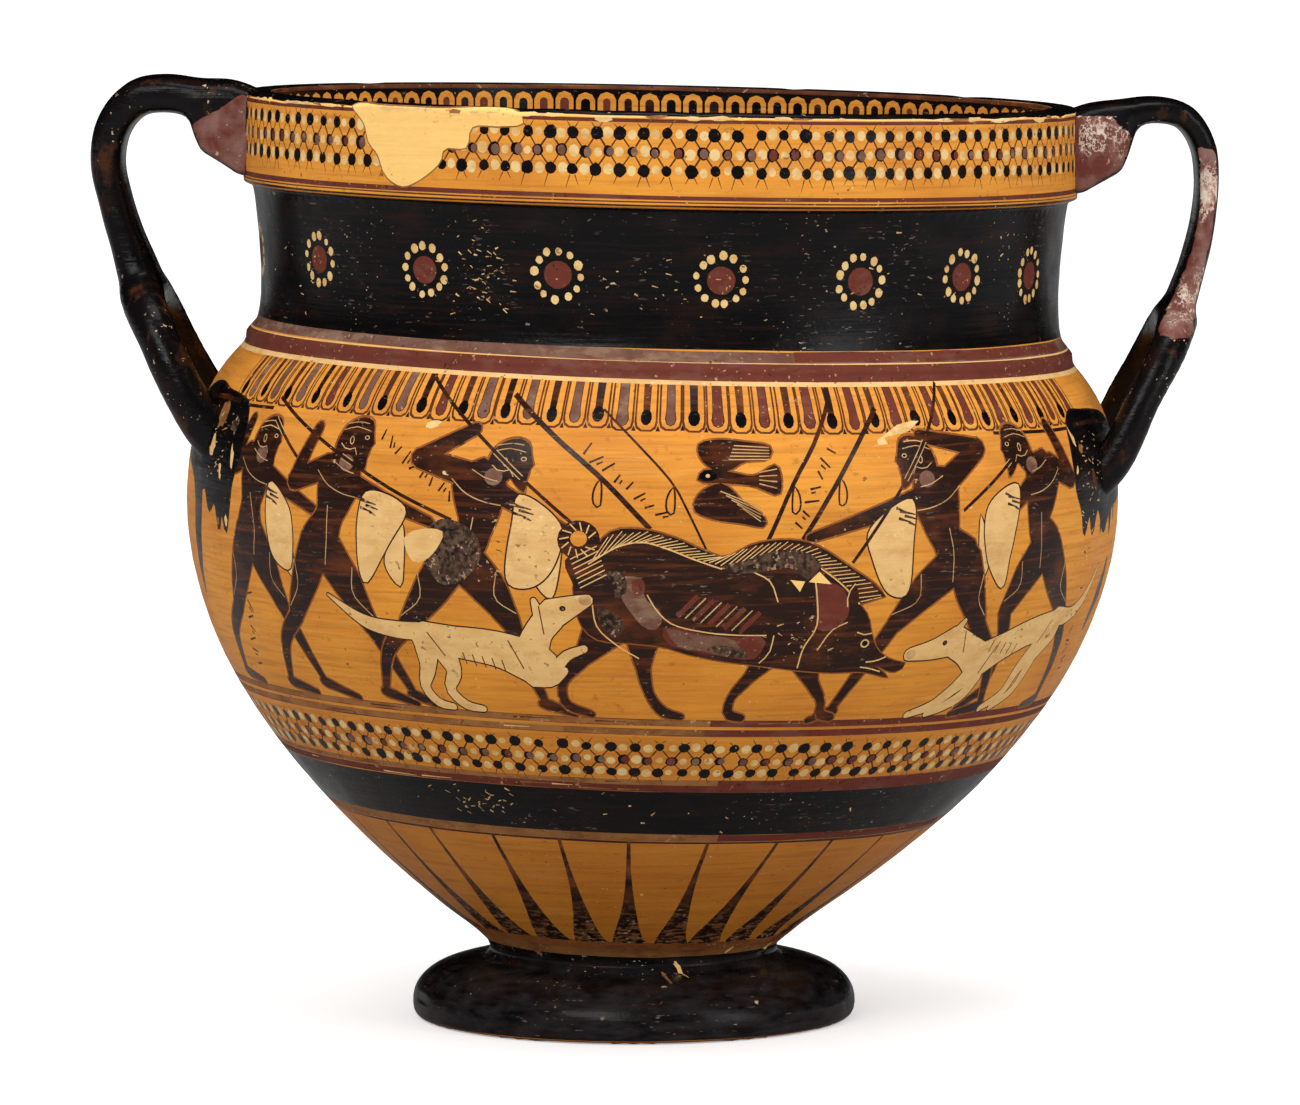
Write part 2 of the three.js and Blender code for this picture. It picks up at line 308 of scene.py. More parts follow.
# Places where the edge of the lip or foot is knocked off: u, height, half width, depth.
KNOCKS = [
    (-62, 367, 6, 0.5), (-25, 367, 5, 0.3), (14, 367.5, 4, 0.35), (96, 367, 4, 0.4), (128, 367, 4, 0.5),
    (170, 367, 8, 0.8), (205, 367, 7, 0.7), (232, 366, 5, 0.7), (-150, 367, 6, 0.5), (-205, 366, 5, 0.4),
    (420, 367, 7, 0.6), (-430, 367, 6, 0.5), (520, 367, 4, 0.5), (-60, 8, 16, 0.7), (150, 6, 20, 0.9),
    (-240, 9, 18, 0.8), (330, 7, 24, 0.8), (60, 31, 9, 0.9), (210, 30, 12, 1.1), (-420, 8, 18, 0.8),
    (-130, 30, 10, 0.7),
]


KNOCK_TALL = 1.6
FINE_MARKS, SLOW_MARKS = 0.05, 0.08  # the throwing marks, all cut into the wall


def wall_points(u, s):
    """Where places on the sheet lie on the pot, in millimetres."""
    u, s = np.asarray(u, float), np.asarray(s, float)
    r, z = radius_at(s), np.interp(s, OUTLINE_S, OUTLINE_Z)
    angle = u / BODY_RADIUS
    fine = FINE_MARKS * np.sin(s / 2.1 + 0.7 * np.sin(angle))
    slow = SLOW_MARKS * np.sin(s / 9 + 2 * np.cos(angle))
    outside = (s > OUTSIDE[0]) & (s < INSIDE[0])
    marked = outside & (z > 3) & (z < RIM_HEIGHT - 3)
    r = r + np.where(marked, fine + slow - (FINE_MARKS + SLOW_MARKS), 0)
    for at, height, half, depth in KNOCKS:
        near = np.exp(-(((u - at) / half) ** 2) - ((z - height) / KNOCK_TALL) ** 2) * outside
        r = r - depth * near
        z = z - depth * near * (1 if height > BODY_HEIGHT else 0)
    return slumped(np.stack([r * np.sin(angle), -r * np.cos(angle), z], -1))


def wall_normals(u, s):
    """The outward direction at places on the sheet."""
    step = 0.3
    reach = step * BODY_RADIUS / np.maximum(radius_at(s), 1)
    low = np.clip(s - step, 0, OUTLINE_S[-1])
    high = np.clip(s + step, 0, OUTLINE_S[-1])
    across = wall_points(u + reach, s) - wall_points(u - reach, s)
    up = wall_points(u, high) - wall_points(u, low)
    normals = np.cross(across, up)
    return normals / np.linalg.norm(normals, axis=1, keepdims=True)


# ---- the painting: shapes on the sheet
CLAY, BLACK, FIGURE, BROWN, HALO, RED, CREAM, WORN, FILL, TAN, BARE, RAY, SCRATCH, DOT, LILAC = range(15)


def wobble(key, amount, u):
    """A slow unevenness that closes on itself round the pot, the same for the same key."""
    own = random.Random(key)
    angle = np.asarray(u) / BODY_RADIUS
    waves = [(own.uniform(0.2, 1) / n**0.5, n, own.uniform(0, TURN)) for n in (1, 2, 3, 5, 8, 13, 21)]
    total = sum(size * np.sin(n * angle + phase) for size, n, phase in waves)
    return amount * total / sum(size for size, _, _ in waves) * 1.6


class Painting:
    """What is painted, in the order it is laid on: each later shape covers those before it."""

    def __init__(self):
        self.shapes = []
        self.points = []
        self.edges = []
        self.levels = {}

    def add_edges(self, outline, closed):
        first = len(self.points)
        self.points.extend(map(tuple, outline))
        count = len(outline)
        last = count if closed else count - 1
        self.edges.extend((first + k, first + (k + 1) % count) for k in range(last))

    def level(self, s, amount):
        """An uneven line right round the pot, drawn once however many bands it bounds."""
        key = (round(float(s), 2), amount)
        if key not in self.levels:
            u = np.linspace(-ROUND / 2, ROUND / 2, int(ROUND / BAND_STEP) + 1)
            line_s = s + wobble(f"level {key}", amount, u)
            line_s[-1] = line_s[0]
            self.levels[key] = (u, line_s)
            if 1 < s < OUTLINE_S[-1] - 1:
                self.add_edges(np.stack([u, line_s], 1), closed=False)
        return self.levels[key]

    def band(self, paint, low, high, wander=0.22):
        """A band right round the pot between two places along the outline."""
        edges = [self.level(s, wander) for s in sorted((low, high))]
        self.shapes.append(("band", paint, edges))

    def patch(self, paint, outline, step=STEP):
        """A closed shape on the sheet."""
        outline = np.array(outline, float)
        outline[:, 0] = np.clip(outline[:, 0], -ROUND / 2 + 0.15, ROUND / 2 - 0.15)
        pieces = []
        for a, b in zip(outline, np.roll(outline, -1, axis=0)):
            count = max(1, math.ceil(np.linalg.norm(b - a) / step))
            pieces.append(a + (b - a) * (np.arange(count) / count)[:, None])
        outline = np.vstack(pieces)
        self.add_edges(outline, closed=True)
        self.shapes.append(("patch", paint, outline))

    def figure(self, paint, outline, step=STEP):
        """A closed shape on the outside given as u and height."""
        outline = np.asarray(outline, float)
        self.patch(paint, np.stack([outline[:, 0], outside_at(outline[:, 1])], 1), step)

    def closed(self, paint, points, spacing=2.4):
        """A shape with a smooth closed edge through places given as u and height."""
        self.figure(paint, smooth_line(points, spacing, closed=True))

    def edged(self, edge, paint, shape, by):
        """A shape with a thin edge of another paint all round it."""
        self.figure(edge, grown(shape, by))
        self.figure(paint, shape)

    def limbs(self, edge, paint, rows, by):
        """Limbs with one thin edge round them all."""
        for colour, extra in ((edge, by), (paint, 0.0)):
            for points, widths in rows:
                self.figure(colour, limb(points, widths, extra))

    def layers(self, rows):
        """Marks in the painter's order: their kind, paint, measure and places.

        The measure is a patch's spacing, a line's width or the number of an oval's sides."""
        for kind, paint, measure, places in rows:
            if kind == "patch":
                self.closed(paint, places, measure)
            elif kind == "line":
                self.figure(paint, stroke(places, measure))
            else:
                self.figure(paint, oval(*places, measure))

    def paints_at(self, u, s):
        """Which paint is on top at each place."""
        order = np.argsort(u)
        su, ss = u[order], s[order]
        paint = np.full(len(u), CLAY)
        for kind, colour, data in self.shapes:
            if kind == "band":
                low, high = (np.interp(su, *edge) for edge in data)
                paint[(ss > low) & (ss < high)] = colour
                continue
            (u0, s0), (u1, s1) = data.min(0), data.max(0)
            first, last = np.searchsorted(su, [u0, u1])
            near = first + np.nonzero((ss[first:last] > s0) & (ss[first:last] < s1))[0]
            if len(near):
                hit = inside_outline(su[near], ss[near], data)
                paint[near[hit]] = colour
        result = np.empty_like(paint)
        result[order] = paint
        return result


def inside_outline(u, s, outline):
    """Which places lie inside a closed outline, wherever it winds round them."""
    a, b = outline, np.roll(outline, -1, axis=0)
    cross = (b[:, 0] - a[:, 0]) * (s[:, None] - a[:, 1]) - (u[:, None] - a[:, 0]) * (b[:, 1] - a[:, 1])
    rising = (a[:, 1] <= s[:, None]) & (b[:, 1] > s[:, None]) & (cross > 0)
    falling = (a[:, 1] > s[:, None]) & (b[:, 1] <= s[:, None]) & (cross < 0)
    return (rising.sum(1) - falling.sum(1)) != 0


# ---- shapes that the painter uses
def disc(u, s, across, up, draw, sides=10, uneven=0.08):
    """A hand-dabbed dot on the sheet, its real size across and up."""
    stretch = BODY_RADIUS / float(radius_at(s))
    turn = draw.uniform(0, TURN)
    angles = turn + np.arange(sides) * TURN / sides
    sizes = 1 + uneven * np.array([draw.uniform(-1, 1) for _ in range(sides)])
    wide, tall = across / 2 * stretch * sizes, up / 2 * sizes
    return np.stack([u + wide * np.cos(angles), s + tall * np.sin(angles)], 1)


def jitter(count, across, up, draw):
    """A small random move for each point of an outline."""
    return np.array([(draw.uniform(-across, across), draw.uniform(-up, up)) for _ in range(count)])


def streak(start, end, width, taper=1.0):
    """A thin straight stroke between two places."""
    start, end = np.asarray(start, float), np.asarray(end, float)
    along = (end - start) / np.linalg.norm(end - start)
    side = np.array([-along[1], along[0]]) * width / 2
    return np.array([start - side, end - side * taper, end + side * taper, start + side])


def limb(points, widths, extra=0.0, spacing=2.6):
    """A round-ended shape that follows points, with a width at each."""
    points = np.asarray(points, float)
    shares = np.linspace(0, 1, 8 * (len(points) - 1) + 1)
    path = np.array([catmull_rom(points, s) for s in shares])
    spread = np.interp(shares * (len(points) - 1), np.arange(len(points)), widths)
    even = resampled(np.column_stack([path, spread]), spacing)
    path, half = even[:, :2], even[:, 2] / 2 + extra
    along = np.gradient(path, axis=0)
    along /= np.linalg.norm(along, axis=1, keepdims=True)
    side = np.stack([-along[:, 1], along[:, 0]], 1) * half[:, None]

    def cap(middle, way, reach):
        turn = np.array([way[1], -way[0]])
        return [middle + reach * (way * c + turn * s) for c, s in ((0.7, -0.7), (1, 0), (0.7, 0.7))]

    end = cap(path[-1], along[-1], half[-1])
    start = cap(path[0], -along[0], half[0])
    return np.vstack([path + side, end, (path - side)[::-1], start])


def stroke(points, width, spacing=3.0):
    """A thin line of even width through points."""
    path = smooth_line(points, spacing)
    along = np.gradient(path, axis=0)
    along /= np.linalg.norm(along, axis=1, keepdims=True)
    side = np.stack([-along[:, 1], along[:, 0]], 1) * width / 2
    return np.vstack([path + side, (path - side)[::-1]])


def oval(u, z, across, up, tilt, sides):
    """An oval round a place, leaning by tilt in degrees."""
    angles = np.arange(sides) * TURN / sides
    x, y = across / 2 * np.cos(angles), up / 2 * np.sin(angles)
    cos, sin = math.cos(math.radians(tilt)), math.sin(math.radians(tilt))
    return np.stack([u + x * cos - y * sin, z + x * sin + y * cos], 1)


def mirrored(half, side, tip=()):
    """A shape alike on both sides: side gives its shares of half and its heights down one side."""
    return [(-half * x, z) for x, z in side] + list(tip) + [(half * x, z) for x, z in side[::-1]]


def places_round(count):
    """Evenly spaced places right round the pot."""
    return [-ROUND / 2 + (k + 0.5) * (ROUND / count) for k in range(count)]


# ---- bands
BANDS = [  # paint, the heights it runs between, how far its edges wander
    (BLACK, 1.2, 31.0, 0.4), (TAN, 31.0, 34.0, 0.5), (BARE, 34.0, 37.8, 0.5), (FIGURE, 84.0, 84.9, 0.3),
    (TAN, 84.9, 88.3, 0.25), (BLACK, 88.3, 106.6, 0.3), (RED, 106.6, 109.6, 0.25), (TAN, 109.6, 111.8, 0.3),
    (RED, 130.2, 132.9, 0.2), (RED, 134.1, 136.7, 0.2), (CREAM, TONGUE_TOP, 266.3, 0.15),
    (RED, 266.3, 272.8, 0.15), (CREAM, 272.8, 273.3, 0.2), (LILAC, 273.3, 277.6, 0.5),
    (BLACK, 277.6, 331.0, 0.3), (FIGURE, 331.6, 332.6, 0.2), (BROWN, 333.2, 333.8, 0.2),
    (RED, 334.3, 336.1, 0.2), (RED, 363.6, 365.0, 0.2), (FILL, 365.3, 365.9, 0.2),
]
TURNS = [  # stretches of those bands in another paint: the heights, from and to round the pot, paint
    (130.4, 132.8, -260, 27, TAN), (134.3, 136.6, -260, 29, TAN), (106.9, 111.6, 38, 255, RED),
    (85.2, 88.0, 47, 230, RED), (273.6, 277.3, 60, 250, RED), (109.9, 111.5, -480, -300, RED),
    (85.2, 88.0, 330, 480, RED), (134.3, 136.6, 300, 420, TAN),
]
SCRAPED = (107.4, 108.4, 110.5, 131.6, 135.5)  # heights of the lines that are scraped in places


def paint_bands(painting):
    """Everything that runs right round the pot, from the foot to the inside."""
    painting.band(BARE, -1, outside_at(BANDS[0][1]))
    for paint, low, high, wander in BANDS:
        painting.band(paint, outside_at(low), outside_at(high), wander)
    lip, arches = INSIDE[0] + 0.6, inside_at(365.4)
    painting.band(BLACK, outside_at(BANDS[-1][2]), lip, 0.15)
    painting.band(BROWN, lip, arches, 0.3)
    painting.band(BLACK, arches, OUTLINE_S[-1] + 1, 0.15)


def paint_turns(painting):
    """The lines beneath the hunt, worn to tan on one side of where the painter's brush began."""
    draw = random.Random(55)
    for low, high, start, end, paint in TURNS:
        us = np.linspace(start, end, int((end - start) / 12))
        wander = np.array([draw.uniform(-0.25, 0.25) for _ in us])
        lower = np.column_stack([us, low + wander])
        upper = np.column_stack([us, high + wander])[::-1]
        painting.figure(paint, np.vstack([lower, upper]), 12)
    for _ in range(26):
        u, z = draw.uniform(-210, 60), draw.choice(SCRAPED)
        reach = draw.uniform(5, 22)
        paint = draw.choice((TAN, CREAM, BROWN))
        painting.figure(paint, streak((u, z), (u + reach, z + draw.uniform(-0.3, 0.3)), 0.6, 0.3))


def paint_net(painting, rows, pairs, dot, seed):
    """Three rows of dots in a net of thin lines: black and cream, purple and cream, black and cream."""
    draw = random.Random(seed)
    pitch = ROUND / pairs
    levels = [float(outside_at(z)) for z in rows]
    stretch = BODY_RADIUS / float(radius_at(levels[1]))
    centres = []
    for row, s in enumerate(levels):
        shift = 0.75 if row == 1 else 0.25
        centres.append([
            (-ROUND / 2 + (k + shift) * pitch + draw.uniform(-0.4, 0.4), s + draw.uniform(-0.35, 0.35))
            for k in range(pairs)
        ])

    def tie(start, end, width):
        start, end = np.array(start), np.array(end)
        way = (end - start) / np.linalg.norm(end - start)
        gap = way * dot * 0.47
        painting.patch(BROWN, streak(start + gap, end - gap, width))

    for k in range(pairs):
        top, middle, bottom = centres[0][k], centres[1][k], centres[2][k]
        for end in (top, bottom):
            tie(middle, end, draw.uniform(0.5, 0.85))
        if k + 1 < pairs:
            for end in (centres[0][k + 1], centres[2][k + 1]):
                tie(middle, end, draw.uniform(0.5, 0.85))
        for (u, s), way, length in ((top, 1, 0.95), (bottom, -1, 1.35)):
            for lean in (-1, 1):
                if draw.random() < 0.85:
                    reach = dot * length * draw.uniform(0.7, 1.1)
                    start = (u + lean * 0.2 * dot * stretch, s + way * dot * 0.45)
                    end = (u + lean * 0.5 * dot * stretch, s + way * reach)
                    painting.patch(BROWN, streak(start, end, 0.5, 0.4))
    for row, colour in enumerate((BLACK, RED, BLACK)):
        for u, s in centres[row]:
            size = dot * draw.uniform(0.82, 1.12)
            pale = (u + pitch / 2 + draw.uniform(-0.5, 0.5), s + draw.uniform(-0.5, 0.5))
            if pale[0] < ROUND / 2 - 2.5 and draw.random() < 0.97:
                size_pale = dot * draw.uniform(0.62, 0.92)
                painting.patch(DOT, disc(*pale, size_pale, size_pale * draw.uniform(1.0, 1.15), draw, 9))
            painting.patch(BLACK, disc(u, s, size, size * 1.06, draw))
            if colour == RED:
                nudge = draw.uniform(-0.2, 1.1) * stretch
                over = draw.choice((RED, LILAC, LILAC)) if u < 40 else draw.choice((RED, RED, LILAC))
                painting.patch(over, disc(u + nudge, s - 0.1, size * 0.68, size * 0.84, draw, 9))


def paint_tongues(painting):
    """The fringe on the shoulder: long drops in doubled outlines, purple and black by turns."""
    draw = random.Random(21)
    half = ROUND / TONGUES / 2
    for k, u in enumerate(places_round(TONGUES)):
        if abs(abs(u) - HANDLE_AT) < 76:
            continue
        u += draw.uniform(-0.35, 0.35)
        foot = TONGUE_FOOT + draw.uniform(-0.35, 0.35)
        top = TONGUE_TOP
        wide = half * draw.uniform(0.94, 1.0)
        outer = mirrored(wide, [(1, top), (1, foot + 3.2), (0.86, foot + 1.1), (0.45, foot)])
        inset = 0.78
        inner = [(x * (wide - inset) / wide, z + (inset if z < top else 0)) for x, z in outer]
        painting.figure(BROWN, [(u + x, z) for x, z in outer])
        painting.figure(CLAY, [(u + x, z) for x, z in inner])
        # the dark spandrel at the foot, between this tongue and the next
        gap = u + half
        painting.figure(FIGURE, [(gap - 0.9, foot + 0.2), (gap + 0.9, foot + 0.2), (gap, foot + 2.4)])
        core = draw.uniform(2.0, 2.5)
        bottom = foot + draw.uniform(1.8, 2.4)
        side = [(0.78, top), (0.82, bottom + 6), (1.02, bottom + 2.6), (0.7, bottom + 0.7)]
        drop = mirrored(core, side, [(0, bottom)])
        if k % 2:
            painting.figure(FIGURE, [(u + x * 1.12, z - (0.25 if z < top else 0)) for x, z in drop])
            paint = LILAC if u < 10 and draw.random() < 0.75 else RED
            painting.figure(paint, [(u + x * 0.95, z) for x, z in drop])
        else:
            stem = mirrored(core, [(0.72, top), (0.62, bottom + 3)])
            painting.figure(BROWN if draw.random() < 0.6 else FIGURE, [(u + x, z) for x, z in stem])
            painting.figure(BLACK, oval(u, bottom + 2.9, core * 2.05, 6.0, draw.uniform(-8, 8), 10))


def paint_rosettes(painting):
    """Purple discs ringed by cream dots, on the black neck."""
    draw = random.Random(5)
    rest = np.linspace(282, ROUND - 268, 10)
    places = ROSETTES + [u if u < ROUND / 2 else u - ROUND for u in rest]
    for u in places:
        s = float(outside_at(ROSETTE_LEVEL + draw.uniform(-1, 1)))
        if abs(u) > ROUND / 2 - 14:
            continue
        stretch = BODY_RADIUS / float(radius_at(s))
        painting.patch(RED, disc(u, s, 11.0, 10.8, draw, 20, 0.02))
        count = draw.choice((12, 13, 13))
        turn = draw.uniform(0, TURN)
        for k in range(count):
            angle = turn + TURN * (k + draw.uniform(-0.12, 0.12)) / count
            away = 9.3 + draw.uniform(-0.4, 0.4)
            size = draw.uniform(2.5, 3.6)
            dot_u = u + away * math.cos(angle) * stretch
            painting.patch(DOT, disc(dot_u, s + away * math.sin(angle), size, size * 1.12, draw, 9))


def paint_rays(painting):
    """Rays that stand on the foot of the bowl, broad below and thin above."""
    draw = random.Random(9)
    for k, place in enumerate(places_round(RAYS)):
        foot_u = place + draw.uniform(-2.5, 2.5)
        tip_u = foot_u + draw.uniform(-4, 4.5)
        heights = np.array([37.4, 41, 45, 50, 56, 63, 72, 84.4])
        shares = (heights - heights[0]) / np.ptp(heights)
        real = draw.uniform(10.5, 13) * (1 - shares) ** 2.6 + 1.7 - 0.3 * shares
        radii = radius_at(outside_at(heights))
        half = real / 2 * BODY_RADIUS / radii
        middle = foot_u + (tip_u - foot_u) * shares + 0.6 * np.sin(shares * 5 + k)
        left = np.column_stack([middle - half, heights])
        right = np.column_stack([middle + half, heights])[::-1]
        painting.figure(RAY, np.vstack([left, right]))


def paint_arches(painting):
    """Reserved arches round the inside of the rim, with dark and purple middles."""
    draw = random.Random(13)

    def arch(u, half, height):
        side = [(1, ARCH_FOOT), (1, height - half * 0.8), (0.7, height - half * 0.25)]
        rows = mirrored(half, side, [(0, height)])
        return [(u + x * BODY_RADIUS / RIM_INNER, float(inside_at(z))) for x, z in rows]

    for u in places_round(ARCHES):
        top = ARCH_TOP + draw.uniform(-0.3, 0.3)
        painting.patch(CLAY, arch(u, draw.uniform(3.8, 4.15), top))
        paint = draw.choice((BLACK, FIGURE, RED, BLACK))
        painting.patch(paint, arch(u, draw.uniform(1.5, 2.0), top - 2.6))


# ---- figures
THIGH, CALF, FOOT = (17, 14.5, 7.6), (7, 5.8, 3), (3, 4.2, 2)
TORSO, NECK, UPPER_ARM, FOREARM = (19, 13.5, 23), (10, 9), (9.5, 7.6), (7, 4.6)
HEAD = [  # a plain profile that looks along +x, round its middle
    (-10.2, -4.6), (-9.4, 0.6), (-7, 4.8), (-3, 7.4), (2, 8.2), (6, 6.6), (7.2, 3.6), (7.4, 1.4),
    (8.9, -0.9), (7.4, -2), (7.7, -3.8), (6.6, -5.6), (6, -11.6), (2.6, -9.6), (-0.6, -6.2),
    (-4, -6.6), (-7.6, -6.8),
]
SCRATCHED = [  # lines scratched into a body, each placed from one of its joints
    ("head", [(-8, 3), (-2, 4.5), (5, 3.4)]), ("head", [(-7, 5.4), (-1, 6.4), (4, 6)]),
    ("head", [(-8, -2), (-4, -4.5), (-1, -3), (1, -6)]),
    ("chest", [(-12, 3), (-6, -2), (2, -5), (9, -6)]), ("chest", [(-4, 7), (2, 4), (7, 3)]),
]
HUNTERS = [
    {"at": -186, "way": 1, "hip": (0, 61), "waist": (1, 72), "chest": (3, 86), "head": (8, 98),
     "elbow": (-14, 86), "hand": (-8, 104), "reach": (43, 72),
     "rear": ((-19, 30), (-37, 4), (-20, 0)), "front": ((19, 33), (33, 6), (52, 0)),
     "spear": [(-177, 243), (-152, 226)],
     "cloth": [(-174, 212), (-172, 219), (-158, 208), (-159, 186), (-169, 190)],
     "lobe": [(-160, 207), (-156, 182), (-163, 190)]},
    {"at": -141, "way": 1, "hip": (0, 61), "waist": (5, 71), "chest": (9, 85), "head": (15, 101),
     "elbow": (-16, 83), "hand": (-7, 104), "reach": (53, 72),
     "rear": ((-19, 30), (-37, 4), (-20, 0)), "front": ((24, 29), (38, 5), (50, 0)),
     "spear": [(-180, 251), (-128, 230), (-104, 220), (-79, 211)],
     "cloth": [(-118, 219), (-99, 214), (-106, 200), (-118, 184), (-121, 195)],
     "lobe": [(-100, 208), (-101, 184), (-108, 193)]},
    {"at": -76, "way": 1, "hip": (0, 60), "waist": (7, 71), "chest": (8, 86), "head": (20, 97),
     "elbow": (-19, 96), "hand": (3, 108), "reach": (48, 69),
     "rear": ((-24, 31), (-41, 5), (-26, 0)), "front": ((22, 35), (34, 5), (47, 0)),
     "spear": [(-100, 264), (-72, 244), (-50, 227), (-28, 210)],
     "cloth": [(-52, 222), (-35, 211), (-38, 194), (-46, 187), (-55, 188), (-54, 212)],
     "lobe": [(-35, 207), (-38, 183), (-45, 191)]},
    {"at": 129, "way": -1, "hip": (0, 62), "waist": (8, 70), "chest": (14, 87), "head": (23, 101),
     "elbow": (-10, 104), "hand": (19, 109), "reach": (68, 71),
     "rear": ((-16, 35), (-37, 3), (-19, -1)), "front": ((28, 37), (47, 4), (57, -1)),
     "spear": [(128, 266), (113, 246), (99, 227), (79, 199)],
     "cloth": [(104, 223), (85, 211), (88, 199), (96, 187), (104, 186), (105, 205)],
     "lobe": []},
    {"at": 180, "way": -1, "hip": (0, 65), "waist": (6, 74), "chest": (3, 91), "head": (19, 104),
     "elbow": (-19, 90), "hand": (-7, 111), "reach": (38, 71),
     "rear": ((-23, 37), (-39, 2), (-26, -1)), "front": ((21, 40), (17, 9), (30, 1)),
     "spear": [(157, 236), (129, 218)],
     "cloth": [(160, 227), (142, 219), (143, 199), (154, 187), (156, 199)],
     "lobe": [(138, 216), (140, 190), (144, 196)]},
]


def middle(a, b):
    """The place halfway between two."""
    return ((a[0] + b[0]) / 2, (a[1] + b[1]) / 2)


def body_parts(pose):
    """A striding body's limbs in the painter's order: their points and their widths."""
    hip, waist, chest, head = (pose[key] for key in ("hip", "waist", "chest", "head"))
    parts = []
    for leg, shift in (("rear", -2.0), ("front", 2.0)):
        knee, ankle, toe = pose[leg]
        top = (hip[0] + shift, hip[1] - 1)
        thigh, calf = middle(top, knee), middle(knee, ankle)
        back = -2.2 if ankle[0] <= knee[0] + 12 else -1.4
        parts.append(([top, (thigh[0] + 1.2, thigh[1] + 0.8), knee], THIGH))
        parts.append(([knee, (calf[0] + back, calf[1] + 3), ankle], CALF))
        parts.append(([(ankle[0] - 1.5, ankle[1] - 1.2), (ankle[0] + 1, ankle[1] - 1.5), toe], FOOT))
    parts.append(([hip, waist, chest], TORSO))
    parts.append(([chest, head], NECK))
    shoulder = (chest[0] - 6, chest[1] + 5)
    parts.append(([shoulder, pose["elbow"]], UPPER_ARM))
    parts.append(([pose["elbow"], pose["hand"]], FOREARM))
    parts.append(([(chest[0] + 7, chest[1] - 1), pose["reach"]], (8, 3.4)))
    return parts


def placed(points, at, way):
    """A figure's own points on the ground line at a place, turned the way it faces."""
    return [(at + way * x, GROUND_LINE + z) for x, z in points]


def paint_body(painting, at, way, pose, draw, haloed=True):
    """A black figure with a thin brown edge, its head, and the lines scratched into it."""
    parts = [(placed(points, at, way), widths) for points, widths in body_parts(pose)]
    head = pose["head"]
    profile = placed([(head[0] + x, head[1] + z) for x, z in HEAD], at, way)
    centre = np.mean(profile, axis=0)
    if haloed:
        for points, widths in parts:
            painting.figure(HALO, limb(points, widths, 0.75))
        painting.figure(HALO, smooth_line(centre + (profile - centre) * 1.1, closed=True))
    for points, widths in parts:
        painting.figure(FIGURE, limb(points, widths))
    painting.figure(FIGURE, smooth_line(profile, closed=True))
    chest, hip, waist = pose["chest"], pose["hip"], pose["waist"]
    neck = (chest[0] + (head[0] - chest[0]) * 0.42, chest[1] + (head[1] - chest[1]) * 0.42)
    painting.figure(LILAC, oval(*placed([neck], at, way)[0], 7.5, 6.5, 0, 12))
    scratched = [[(pose[joint][0] + x, pose[joint][1] + z) for x, z in points] for joint, points in SCRATCHED]
    scratched.append([(waist[0] - 1, waist[1] + 4), (hip[0] + 4, hip[1] + 2), (hip[0] + 3, hip[1] - 9)])
    for leg, lean in (("rear", -5.2), ("front", 5.0)):
        knee = pose[leg][0]
        mid = middle(hip, knee)
        scratched.append([(mid[0] + lean, mid[1] + 7), (mid[0] + lean * 0.9, mid[1] - 3),
                          (knee[0] + lean * 0.4, knee[1] + 4)])
    for points in scratched:
        painting.figure(SCRATCH, stroke(placed(points, at, way), draw.uniform(0.3, 0.42)))
    eye = placed([(head[0] + 4.5, head[1] + 0.8)], at, way)[0]
    painting.figure(SCRATCH, oval(*eye, 2.5, 1.7, 0, 10))
    painting.figure(BLACK, oval(*eye, 1.6, 1.0, 0, 8))
    ear = placed([(head[0] - 2.8, head[1] - 0.6)], at, way)[0]
    painting.figure(SCRATCH, oval(*ear, 2.3, 3.4, 8, 10))
    painting.figure(FIGURE, oval(*ear, 1.5, 2.5, 8, 8))


def grown(outline, by):
    """A closed outline moved outwards all along."""
    outline = np.asarray(outline, float)
    along = np.roll(outline, -1, axis=0) - np.roll(outline, 1, axis=0)
    along /= np.linalg.norm(along, axis=1, keepdims=True)
    side = np.stack([along[:, 1], -along[:, 0]], 1)
    a, b = outline, np.roll(outline, -1, axis=0)
    turning = np.sum(a[:, 0] * b[:, 1] - b[:, 0] * a[:, 1])
    return outline + side * by * (1 if turning > 0 else -1)


SMEARS = [(-3.2, 2.4, 2), (0, 1.2, 3.6), (1.6, -0.6, 3), (-1.4, -1.6, 2.6), (2.2, -3, 1.6)]


def paint_cloth(painting, outline, smeared=True):
    """A pale cloth edged with a dark line, smeared where it has worn."""
    painting.edged(FIGURE, CREAM, smooth_line(outline, 2.2, closed=True), 0.65)
    if not smeared:
        return
    top = max(outline, key=lambda p: p[1])
    u, z = (np.mean(outline, axis=0) - top) * 0.3 + top
    for across, up, reach in SMEARS:
        start = (u + across - reach, z + up + 0.7)
        end = (u + across + reach, z + up - 0.7)
        painting.figure(WORN, streak(start, end, 1.2, 0.4))


def paint_spear(painting, points, width=1.6, loop_at=None):
    """A shaft, and the throwing loop tied to it."""
    painting.figure(FIGURE, stroke(points, width, 6))
    if loop_at is None:
        return
    u, z = loop_at
    way = np.sign(points[-1][0] - points[0][0])
    ring = [(0, 0), (0.8, 6), (0.2, 10.5), (-2.0, 9), (-2.2, 4)]
    ring = smooth_line([(u + way * x, z - drop) for x, drop in ring], 2.0, closed=True)
    painting.figure(FIGURE, grown(ring, 0.45))
    painting.figure(CLAY, grown(ring, -0.35))


